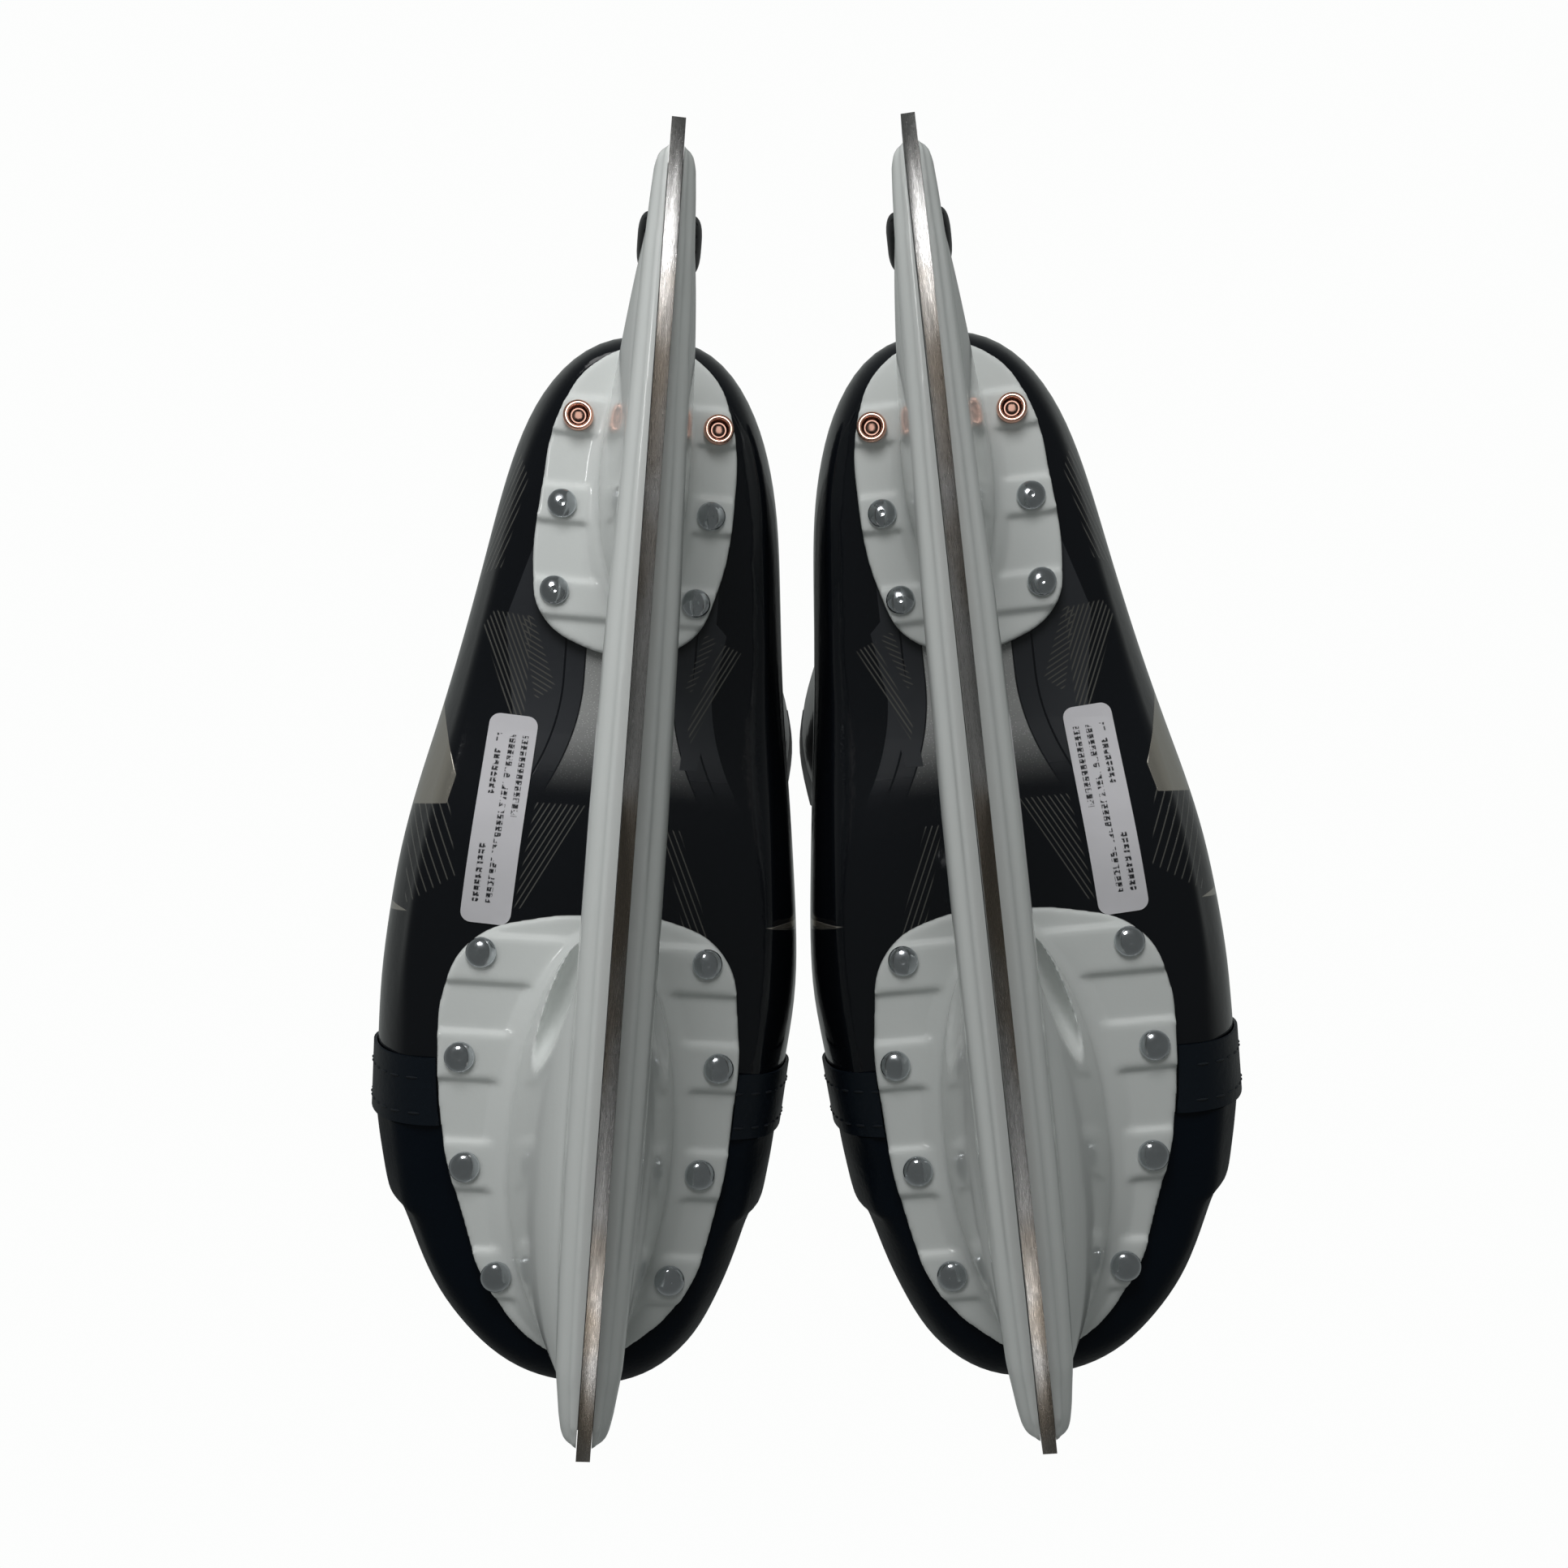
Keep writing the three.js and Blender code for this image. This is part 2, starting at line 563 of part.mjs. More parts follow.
function makeToeCap() {
  const column = (j, outer) => {
    const share = toeShare(j);
    const spineY = (TOE_OUTLINE.at(share).y + TOE_OUTLINE.at(2 - share).y) / 2;
    const spine = spineFor(Math.max(spineY, SPINE_TOE_Y));
    const s = outer ? 2 - share : share;
    return Array.from({ length: WALL_STEPS + 1 }, (_, k) => toePoint(s, k / WALL_STEPS, spine));
  };
  const wall = [];
  for (let j = 0; j <= TOE_COLUMNS; j += 1) wall.push(column(j, false));
  for (let j = TOE_COLUMNS - 1; j >= 0; j -= 1) wall.push(column(j, true));
  const inner = innerFace(wall, -1).map((points, i) => points.map((p, k) => (k === WALL_STEPS
    ? wall[i][k].clone().add(new THREE.Vector3(0, 0, -SHELL_WALL))
    : p)));
  squareEnds([wall, inner], SEAM_Y - CLEARANCE);
  const holes = RIVETS.filter(({ y }) => y < SEAM_Y);
  return cutAll(cup(wall, inner, false), rivetHoles(holes, FRONT_SOLE_Z - 2, FRONT_SOLE_Z + 6));
}

/** The rows of a facing at s, from its lower edge to the throat. */
function facingRows(s, width) {
  const low = below(s, width);
  return [0, 0.5, 1].map((share) => wallPoint(s, lerp(low, 1, share)));
}

/** A facing: the eyelet band between the shell's edge and the throat, on the inner or outer side. */
function makeFacing(outer) {
  const columns = [...Array(CORNER_COLUMN + 2).keys(), CORNER_COLUMN + 1.8];
  const toS = (column) => (outer ? 2 - column / COLUMNS : column / COLUMNS);
  const width = (column) => FACING_WIDTH * facingShare(column) - CLEARANCE;
  const grid = columns.map((column) => facingRows(toS(column), width(column)));
  const back = offset(grid, outer ? -SHELL_WALL : SHELL_WALL);
  for (const face of [grid, back]) face[0].forEach((p) => { p.y = SEAM_Y; });
  const holes = Array.from({ length: EYELET_COUNT }, (_, k) => {
    const s = toS(lerp(EYELET_FIRST, EYELET_LAST, k / (EYELET_COUNT - 1)) * CORNER_COLUMN);
    return drill(s, below(s, FACING_WIDTH / 2), EYELET_RADIUS);
  });
  return cutAll(sheet(grid, back), holes);
}

/** A round cutter through the wall at (s, t), square to it. */
function drill(s, t, radius) {
  const small = 0.01;
  const centre = wallPoint(s, t);
  const ds = wallPoint(s + small, t).sub(wallPoint(s - small, t));
  const dt = wallPoint(s, t + small).sub(wallPoint(s, t - small));
  const geometry = new THREE.CylinderGeometry(radius, radius, 6 * SHELL_WALL, 6);
  const turn = new THREE.Quaternion().setFromUnitVectors(new THREE.Vector3(0, 1, 0), ds.cross(dt).normalize());
  geometry.applyQuaternion(turn).translate(centre.x, centre.y, centre.z);
  return solidOf(geometry);
}

/** The space of the front plate, grown by a clearance: what lies beside the plate is cut by it. */
const plateRoom = () => prism(FRONT_PLATE, FRONT_SOLE_Z - 6, FRONT_SOLE_Z + 0.2, 34, 2 * CLEARANCE);

/** The rows of one whole column: the shell's own rows, then the facing's. */
function fullColumn(s) {
  const top = shellTop(s);
  const shellRows = Array.from({ length: WALL_STEPS + 1 }, (_, j) => wallPoint(s, top * j / WALL_STEPS));
  return [...shellRows, ...facingRows(s, FACING_WIDTH - CLEARANCE)];
}

/** The stitched strip: a band round the boot, cut away under the holder's front plate. */
function makeVampStrip() {
  const rings = [0, 1 / COLUMNS].map((s) => {
    const inner = fullColumn(s).reverse();
    const outer = fullColumn(2 - s);
    const soleEdge = inner[inner.length - 1];
    const strips = Array.from({ length: SOLE_STRIPS - 1 }, (_, b) => (b + 1) / SOLE_STRIPS);
    return [...inner, ...strips.map((share) => soleEdge.clone().lerp(outer[0], share)), ...outer];
  });
  const closed = rings.map((ring) => [ring[ring.length - 1], ...ring, ring[0]]);
  const push = (distance) => {
    const pushed = offset(closed, distance).map((ring) => ring.slice(1, -1));
    pushed[0].forEach((p) => { p.y = SEAM_Y; });
    return pushed.map((ring) => [...ring, ring[0]]);
  };
  const near = push(CLEARANCE);
  const far = push(CLEARANCE + STRIP_THICKNESS);
  const skin = new Skin();
  skin.patch(far, true, true).patch(near, false, true).patch([far[0], near[0]]).patch([far[1], near[1]], true);
  return outward(skin).subtract(plateRoom());
}

/** The liner follows the shell's own grid, one clearance inside its inner face. */
function makeLiner() {
  const wall = wallGrid(0, 2, 2 * COLUMNS, WALL_STEPS, () => 0, shellTop);
  const inward = SHELL_WALL + CLEARANCE;
  const cut = (grid) => grid.slice(1, -1).map((column) => column.slice(LINER_FIRST_ROW));
  return sheet(cut(offset(wall, inward)), cut(offset(wall, inward + LINER_THICKNESS)));
}

const FOOTBED_TOE_Y = along(-136);
const FOOTBED_HEEL_Y = along(107);
const FOOTBED_MARGIN = 3;        // the insole's edge to the wall
const TOE_ROUND = along(25);     // lengths of the insole's rounded ends
const HEEL_ROUND = along(26);
const BLUNT = 0.04;              // the ends keep a width of the root of this share

/** How much of its width the insole keeps, a distance past the start of an end of a given length. */
const roundEnd = (past, length) => Math.sqrt(Math.max(1 - (Math.max(past, 0) / length) ** 2, BLUNT));

/** The removable insole: a strip that follows the floor from the toe to the heel. */
function makeFootbed() {
  const stations = 13;
  const rows = Array.from({ length: stations }, (_, i) => {
    const y = lerp(FOOTBED_TOE_Y, FOOTBED_HEEL_Y, i / (stations - 1));
    const left = roundEnd(SPINE_TOE_Y - y, TOE_ROUND) * roundEnd(y - SPINE_HEEL_Y, HEEL_ROUND);
    const widthAt = (sign) => {
      const clamped = Math.min(Math.max(y, SPINE_TOE_Y), SPINE_HEEL_Y);
      const curve = clamped < SEAM_Y ? TOE_OUTLINE : BELLY;
      const edge = outlineX(curve, clamped, sign);
      const half = Math.abs(edge - centreX(clamped)) * SOLE_SHARE - FOOTBED_MARGIN;
      return centreX(clamped) + sign * half * left;
    };
    return { y, inner: widthAt(-1), outer: widthAt(1) };
  });
  const level = (lift) => rows.map(({ y, inner, outer }) => [0, 0.5, 1].map((b) =>
    new THREE.Vector3(lerp(inner, outer, b), y, soleZ(y) + FLOOR_THICKNESS + lift)));
  const gap = CLEARANCE + RIVET_CLINCH_HEIGHT + CLEARANCE;
  return sheet(level(gap), level(gap + FOOTBED_THICKNESS));
}

/** The outline's x at a given y, on the inner (-1) or the outer (+1) side. */
function outlineX(line, y, sign) {
  let [near, far] = [0, 1];
  const rising = line.at(1).y > line.at(0).y;
  for (let step = 0; step < 30; step += 1) {
    const middle = (near + far) / 2;
    const value = line.at(sign < 0 ? middle : 2 - middle).y;
    if ((value < y) === rising) near = middle;
    else far = middle;
  }
  return line.at(sign < 0 ? near : 2 - near).x;
}

const TONGUE_ROUND_START = 0.8;  // share of the tongue's length where its rounded top begins

/** The tongue fills the throat between the facings and stands above the cuff. */
function makeTongue() {
  const spine = new THREE.CatmullRomCurve3([
    point(6.2, -63, 72.6), point(6, -56, 77.5), point(5.6, -42, 94), point(4.5, -24, 121), point(1.5, -13, 149),
    point(-0.5, -9, 172), point(-0.5, -12, 190),
  ], false, 'centripetal');
  const stations = 11;
  const strips = 6;
  const front = Array.from({ length: stations }, (_, i) => {
    const share = i / (stations - 1);
    const middle = spine.getPointAt(share);
    const half = tongueHalf(middle);
    const topRound = Math.sqrt(Math.max(1 - Math.max((share - TONGUE_ROUND_START) / 0.22, 0) ** 2, 0.1));
    return Array.from({ length: strips + 1 }, (_, j) => {
      const side = 2 * j / strips - 1;
      const sag = TONGUE_ARCH * side * side * Math.min(half / TONGUE_HALF_WIDTH, 1);
      return new THREE.Vector3(middle.x + side * half * topRound, middle.y + sag, middle.z - sag * 0.4);
    });
  });
  const directions = normals(front);
  const back = front.map((row, i) => row.map((p, j) => {
    const side = Math.abs(2 * j / strips - 1);
    const root = 0.4 + 0.6 * smoothstep(i, 0, 2);
    return p.clone().addScaledVector(directions[i][j], TONGUE_THICKNESS * root * (1 - 0.6 * side ** 3));
  }));
  return sheet(front, back);
}

/** Half the tongue's width where its middle is: the throat's half width less a gap. */
function tongueHalf(middle) {
  let share = 1;
  for (let u = 0; u <= 1; u += 0.01) {
    if (THROAT_INNER.getPointAt(u).z > middle.z) {
      share = u;
      break;
    }
  }
  const half = (THROAT_OUTER.getPointAt(share).x - THROAT_INNER.getPointAt(share).x) / 2;
  return Math.min(half - TONGUE_GAP, TONGUE_HALF_WIDTH);
}

const GUARD_CORNER_FALL = 0.7;   // share of the guard's height that is lost at its corners
const GUARD_TAPER = 0.12;        // share of its width that is lost at its top
const GUARD_LEAN = 6;            // how far its top leans to the rear
const GUARD_EXTRA_WALL = 1;

/** The tendon guard stands on the cuff behind the heel, rounded at its top. */
function makeTendonGuard() {
  const half = 2 / COLUMNS;
  const columns = 8;
  const rows = 4;
  const grid = Array.from({ length: columns + 1 }, (_, i) => {
    const side = 2 * i / columns - 1;
    const foot = topEdge(1 + side * half);
    const height = GUARD_HEIGHT * (1 - GUARD_CORNER_FALL * side ** 4);
    return Array.from({ length: rows + 1 }, (_, j) => {
      const lift = height * j / rows;
      const narrow = 1 - GUARD_TAPER * lift / GUARD_HEIGHT;
      const back = GUARD_LEAN * (lift / GUARD_HEIGHT) ** 2;
      return new THREE.Vector3(foot.x * narrow, foot.y + back, foot.z + 2 * CLEARANCE + lift);
    });
  });
  return sheet(grid, offset(grid, SHELL_WALL + GUARD_EXTRA_WALL));
}

/** Height of the boot's underside at a place in plan. */
function undersideZ(x, y) {
  const centre = centreX(y);
  const edge = outlineX(BELLY, y, Math.sign(x - centre));
  const reach = Math.abs((x - centre) / (edge - centre));
  if (reach <= SOLE_SHARE) return soleZ(y);
  const sine = Math.min((reach - SOLE_SHARE) / (1 - SOLE_SHARE), 1);
  return soleZ(y) + bellyRise(y) * (1 - Math.sqrt(1 - sine * sine));
}

/** The size label lies on the sole's outer edge under the arch. */
function makeLabel() {
  const centre = plan(LABEL_X, LABEL_Y);
  const [rows, columns] = [2, 8];
  const grid = Array.from({ length: columns + 1 }, (_, i) => {
    const v = (i / columns - 0.5) * LABEL_LENGTH;
    return Array.from({ length: rows + 1 }, (_, j) => {
      const u = (j / rows - 0.5) * LABEL_WIDTH;
      const x = centre.x + u * Math.cos(LABEL_TURN) - v * Math.sin(LABEL_TURN);
      const y = centre.y + u * Math.sin(LABEL_TURN) + v * Math.cos(LABEL_TURN);
      return new THREE.Vector3(x, y, undersideZ(x, y));
    });
  });
  const lift = 2 * CLEARANCE;    // the sole under it is faceted
  return sheet(offset(grid, lift), offset(grid, lift + LABEL_THICKNESS)).subtract(plateRoom());
}

// ---------------------------------------------------------------- holder, runner and lock
/** A level ring of a tower: from y0 to y1 along the skate and x0 to x1 across it. */
function towerRing(z, y0, y1, x0, x1, power, count = 20) {
  const [cx, cy] = [(x0 + x1) / 2, (y0 + y1) / 2];
  return Array.from({ length: count }, (_, i) => {
    const a = 2 * Math.PI * i / count;
    const bend = (v) => Math.sign(v) * Math.abs(v) ** (2 / power);
    return new THREE.Vector3(cx + bend(Math.cos(a)) * (x1 - x0) / 2, cy + bend(Math.sin(a)) * (y1 - y0) / 2, z);
  });
}

/** A tower from the rail up to its plate; the flare spreads it near the plate. */
function tower(foot, head, steps, flare) {
  const rings = Array.from({ length: steps + 1 }, (_, i) => {
    const share = i / steps;
    const z = lerp(foot.z, head.z, share);
    const spread = share ** flare;
    return towerRing(
      z,
      lerp(foot.y0, head.y0, share ** head.bend0),
      lerp(foot.y1, head.y1, share ** head.bend1),
      lerp(foot.x0, head.x0, spread),
      lerp(foot.x1, head.x1, spread),
      lerp(foot.power, head.power, share),
    );
  });
  return loft(rings);
}

/** A holder plate: pockets between raised bands, one band for each row of rivets. */
function makePlate(outline, rows, sole) {
  const top = sole - CLEARANCE;
  const low = top - PLATE_THICKNESS;
  const whole = prism(outline, low, top, 34);
  const thin = prism(outline, low + POCKET_DEPTH, top, 34);
  const bands = rows.map(({ outer, inner }) => {
    const y = along((outer[1] + inner[1]) / 2);
    return box(-60, 60, y - BAND_HALF_WIDTH, y + BAND_HALF_WIDTH, low - 1, top + 1);
  });
  return thin.add(whole.intersect(joinAll(bands)));
}

const RAIL_TAIL_Y = 137;

/** The rail: rounded sections from the nose to the tail, thin at its ends. */
function makeRail() {
  const stations = [
    { y: -140, wall: 1.6, lift: 2 }, { y: -138.5, wall: 3, lift: 0.8 }, { y: -125, wall: 6, lift: 0 },
    { y: -84, wall: 7, lift: 0 }, { y: -40, wall: 7.2, lift: 0 }, { y: -6, wall: 7.1, lift: 0 },
    { y: 40, wall: 6.4, lift: 0 }, { y: 80, wall: 5.2, lift: 0 }, { y: 115, wall: 4, lift: 0 },
    { y: 134, wall: 2.6, lift: 0 }, { y: RAIL_TAIL_Y, wall: 1.4, lift: 1.2 },
  ];
  const rings = stations.map(({ y, wall, lift }) => {
    const half = RUNNER_THICKNESS / 2 + wall;
    const low = RAIL_BOTTOM_Z + lift;
    const shoulder = Math.min(wall * 0.4, 2.4);
    const side = [
      [half - shoulder, low], [half - shoulder * 0.3, low + shoulder * 0.3], [half, low + shoulder],
      [half, RAIL_TOP_Z - 4], [half * 0.75, RAIL_TOP_Z - 1], [half * 0.3, RAIL_TOP_Z],
    ];
    const mirrored = side.map(([x, z]) => [-x, z]).reverse();
    return [...side, ...mirrored].map(([x, z]) => new THREE.Vector3(x, onRail(y), z));
  });
  return loft(rings);
}

function makeHolder() {
  const sunk = 1;                // a tower's head ends inside its plate
  const frontTop = FRONT_SOLE_Z - CLEARANCE - sunk;
  const heelTop = HEEL_SOLE_Z - CLEARANCE - sunk;
  const towerFoot = { z: RAIL_TOP_Z - 6, x0: -8, x1: 8, power: 1.7 };
  const front = tower(
    { ...towerFoot, y0: onRail(-138.5), y1: along(-22) },
    {
      z: frontTop, x0: across(-17), x1: across(24), y0: along(-134), y1: along(-33),
      power: 2, bend0: 1, bend1: 0.6,
    },
    6,
    1.8,
  );
  const rear = tower(
    { ...towerFoot, x0: -7, x1: 7, y0: along(66), y1: onRail(RAIL_TAIL_Y - 0.5), power: 2.2 },
    {
      z: heelTop, x0: across(-9.8), x1: across(13.8), y0: along(43), y1: along(108),
      power: 2.4, bend0: 0.8, bend1: 1.2,
    },
    6,
    0.7,
  );
  const whole = joinAll([
    makePlate(FRONT_PLATE, FRONT_ROWS, FRONT_SOLE_Z),
    makePlate(HEEL_PLATE, HEEL_ROWS, HEEL_SOLE_Z),
    front,
    rear,
    makeRail(),
  ]);
  const hookRoom = CLEARANCE + 0.2;
  const reach = HOOK_HALF + hookRoom;
  const pinRoom = PIN_LENGTH / 2 + CLEARANCE;
  const slot = (y0, y1, top) => box(-SLOT_HALF, SLOT_HALF, y0, y1, 0, top + hookRoom);
  const cutters = [
    slot(-RUNNER_LENGTH, RUNNER_LENGTH, RUNNER_TOP_Z),
    slot(PIN_Y - reach, PIN_Y + reach, HOOK_TOP_Z),
    slot(DIAL_Y - reach, DIAL_Y + reach, HOOK_TOP_Z),
    crossPost(-pinRoom, pinRoom, PIN_Y, HOOK_Z, PIN_RADIUS + CLEARANCE, 10),
    crossPost(-DIAL_LENGTH, DIAL_LENGTH, DIAL_Y, HOOK_Z, DIAL_SHAFT_RADIUS + CLEARANCE, 12),
    crossPost(DIAL_WEB, DIAL_LENGTH, DIAL_Y, HOOK_Z, DIAL_RADIUS + 2 * CLEARANCE, 16),
    crossPost(-DIAL_LENGTH, -DIAL_WEB, DIAL_Y, HOOK_Z, DIAL_RADIUS + 2 * CLEARANCE, 20),
    ...rivetHoles(RIVETS.filter(({ sole }) => sole === FRONT_SOLE_Z), FRONT_SOLE_Z - 8, FRONT_SOLE_Z + 2),
    ...rivetHoles(RIVETS.filter(({ sole }) => sole === HEEL_SOLE_Z), HEEL_SOLE_Z - 8, HEEL_SOLE_Z + 2),
  ];
  return cutAll(whole, cutters);
}

const FLAT_SHARE = 0.12;         // share of the runner that is flat on the ice
const ROCKER_SHARE = 0.25;       // share of the tip's rise that belongs to the long rocker
const RUNNER_CORNER = 2.5;       // the upper corners of its ends are cut back by this much

/** The runner's side view, pushed to its thickness: rockered edge, two hooks that open upwards. */
function makeRunner() {
  const end = RUNNER_END_Y;
  const shape = new THREE.Shape();
  const flat = end * FLAT_SHARE;
  const edge = (y) => {
    const over = Math.max(Math.abs(y) - flat, 0) / (end - flat);
    return RUNNER_TIP_RISE * (ROCKER_SHARE * over ** 2 + (1 - ROCKER_SHARE) * over ** 9);
  };
  const steps = 11;
  shape.moveTo(-end, edge(end));
  for (let i = 1; i <= steps; i += 1) {
    const y = lerp(-end, -flat, Math.sqrt(i / steps));
    shape.lineTo(y, edge(y));
  }
  for (let i = 0; i <= steps; i += 1) {
    const y = lerp(end, flat, Math.sqrt(1 - i / steps));
    shape.lineTo(y, edge(y));
  }
  shape.lineTo(end, RUNNER_TOP_Z - RUNNER_CORNER);
  shape.lineTo(end - RUNNER_CORNER, RUNNER_TOP_Z);
  hook(shape, DIAL_Y, DIAL_SHAFT_RADIUS + CLEARANCE, 1);
  hook(shape, PIN_Y, PIN_RADIUS + CLEARANCE, 1);
  shape.lineTo(-end + RUNNER_CORNER, RUNNER_TOP_Z);
  shape.lineTo(-end, RUNNER_TOP_Z - RUNNER_CORNER);
  shape.closePath();
  const geometry = new THREE.ExtrudeGeometry(shape, { depth: RUNNER_THICKNESS, bevelEnabled: false });
  const turned = new THREE.Matrix4().makeBasis(
    new THREE.Vector3(0, 1, 0),
    new THREE.Vector3(0, 0, 1),
    new THREE.Vector3(1, 0, 0),
  );
  return solidOf(geometry.applyMatrix4(turned).translate(-RUNNER_THICKNESS / 2, 0, 0));
}

/** A hook on the runner's upper edge: a block with a round seat that opens upwards. */
function hook(shape, y, seat) {
  shape.lineTo(y + HOOK_HALF, RUNNER_TOP_Z);
  shape.lineTo(y + HOOK_HALF, HOOK_TOP_Z);
  shape.lineTo(y + seat, HOOK_TOP_Z);
  const sides = 6;
  for (let i = 0; i <= sides; i += 1) {
    const a = -Math.PI * i / sides;
    shape.lineTo(y + seat * Math.cos(a), HOOK_Z + seat * Math.sin(a));
  }
  shape.lineTo(y - seat, HOOK_TOP_Z);
  shape.lineTo(y - HOOK_HALF, HOOK_TOP_Z);
  shape.lineTo(y - HOOK_HALF, RUNNER_TOP_Z);
}

/** The lock dial: two ridged knobs on one shaft across the rear tower. */
function makeLockDial() {
  const web = DIAL_WEB + CLEARANCE;
  const half = DIAL_LENGTH / 2;
  const knob = (x0, x1) => {
    const ridged = crossPost(x0, x1, DIAL_Y, HOOK_Z, DIAL_RADIUS, DIAL_RIDGES * 2);
    const grooves = Array.from({ length: DIAL_RIDGES }, (_, i) => {
      const a = 2 * Math.PI * i / DIAL_RIDGES;
      const [y, z] = [DIAL_Y + DIAL_RADIUS * Math.cos(a), HOOK_Z + DIAL_RADIUS * Math.sin(a)];
      return crossPost(x0 - 1, x1 + 1, y, z, DIAL_GROOVE_RADIUS, 4);
    });
    return cutAll(ridged, grooves);
  };
  const shaft = crossPost(-half + 1, half - 1, DIAL_Y, HOOK_Z, DIAL_SHAFT_RADIUS, 12);
  return joinAll([shaft, knob(web, half), knob(-half, -web)]);
}

const makeFrontPin = () => crossPost(-PIN_LENGTH / 2, PIN_LENGTH / 2, PIN_Y, HOOK_Z, PIN_RADIUS, 10);

// ---------------------------------------------------------------- the pair
const shell = makeShell();
const toeCap = makeToeCap();
/** What lies beside the shell and the toe cap gives way to them, whatever the sizes. */
const beside = (solid) => solid.subtract(shell).subtract(toeCap);

const PIECES = [
  ['holder', beside(makeHolder()), WHITE_PLASTIC],
  ['runner', makeRunner(), STEEL],
  ['lock_dial', makeLockDial(), BLACK_PLASTIC],
  ['front_pin', makeFrontPin(), STEEL],
  ['shell', shell, BLACK_GLOSS],
  ['toe_cap', toeCap, NAVY_MATTE],
  ['vamp_strip', makeVampStrip(), NAVY_MATTE],
  ['facing_inner', beside(makeFacing(false)), BLACK_PLASTIC],
  ['facing_outer', beside(makeFacing(true)), BLACK_PLASTIC],
  ['tongue', makeTongue(), FELT],
  ['liner', makeLiner(), LINING],
  ['footbed', makeFootbed(), FOAM],
  ['tendon_guard', makeTendonGuard(), BLACK_PLASTIC],
  ['label', makeLabel(), PAPER],
  ...RIVETS.map((spec) => [spec.name, rivet(spec), spec.hollow ? COPPER : ZINC]),
].map(([name, solid, material]) => ({ name, geometry: geometryOf(solid), material }));

/** One skate in its standing place; mirror is -1 for the right skate. */
function makeSkate(side, mirror) {
  const skate = new THREE.Group();
  skate.rotation.set(0, LEAN, SPLAY, 'ZYX');
  skate.position.set(STAND_OFFSET, 0, 0);
  for (const { name, geometry, material } of PIECES) {
    const mesh = new THREE.Mesh(geometry, material);
    mesh.name = `${side}_${name}`;
    skate.add(mesh);
  }
  const half = new THREE.Group();
  half.scale.x = mirror;
  half.add(skate);
  return half;
}

const pair = new THREE.Group();
pair.add(makeSkate('left', 1), makeSkate('right', -1));
pair.updateMatrixWorld(true);

// The origin is under the middle of the pair, on the surface that it stands on.
const extent = new THREE.Box3();
pair.traverse((object) => {
  if (object.isMesh) extent.union(new THREE.Box3().setFromObject(object, true));
});
pair.position.set(0, -(extent.min.y + extent.max.y) / 2, -extent.min.z);
pair.updateMatrixWorld(true);

export default pair;
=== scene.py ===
"""A pair of ice hockey skates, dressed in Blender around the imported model.

Each left piece is modelled in the left skate's own frame (millimetres: x to the outer side, y to the
heel, z up from the runner's edge) and is then set in its standing place. The right piece is its mirror.
"""

import json
import logging
import math
from dataclasses import dataclass
from enum import Enum

import bpy
import numpy as np
from mathutils import Matrix, Vector
from mathutils.bvhtree import BVHTree

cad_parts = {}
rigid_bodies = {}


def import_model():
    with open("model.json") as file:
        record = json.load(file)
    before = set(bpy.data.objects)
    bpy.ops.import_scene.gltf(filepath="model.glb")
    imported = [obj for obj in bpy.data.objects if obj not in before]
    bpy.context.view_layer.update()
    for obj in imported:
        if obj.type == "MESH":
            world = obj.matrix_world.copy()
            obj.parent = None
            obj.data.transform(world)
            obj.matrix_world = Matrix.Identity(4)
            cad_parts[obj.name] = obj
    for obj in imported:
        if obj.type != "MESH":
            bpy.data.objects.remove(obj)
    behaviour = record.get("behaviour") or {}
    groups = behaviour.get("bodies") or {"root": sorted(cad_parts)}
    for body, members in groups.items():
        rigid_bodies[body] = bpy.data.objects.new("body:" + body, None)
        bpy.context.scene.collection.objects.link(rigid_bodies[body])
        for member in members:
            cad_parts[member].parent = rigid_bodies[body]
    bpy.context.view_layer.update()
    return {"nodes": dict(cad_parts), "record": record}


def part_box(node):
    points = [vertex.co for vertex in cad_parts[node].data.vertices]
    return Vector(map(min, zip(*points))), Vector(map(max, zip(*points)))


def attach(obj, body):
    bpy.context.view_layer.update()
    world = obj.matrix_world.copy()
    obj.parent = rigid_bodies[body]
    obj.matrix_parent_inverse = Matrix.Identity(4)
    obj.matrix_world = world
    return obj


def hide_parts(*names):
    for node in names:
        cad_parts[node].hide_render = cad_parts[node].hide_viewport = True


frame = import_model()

log = logging.getLogger("skates")

MM = 0.001
# attribute: 1 where a hollow rivet's bore gets painted shade in its finish
BORE_SHADE = "bore"
PLACE = "place"  # attribute: where a point lies in the skate's own frame, in millimetres

DIAL_Y = 122.5   # the lock dial's place along the skate, in millimetres
DIAL_Z = 34.0    # and its height

Point = tuple[float, float, float]
Colour = tuple[float, float, float]
Outline = list[tuple[float, float]]


class Side(Enum):
    """The wearer's side that a skate belongs to."""

    LEFT = "left"
    RIGHT = "right"


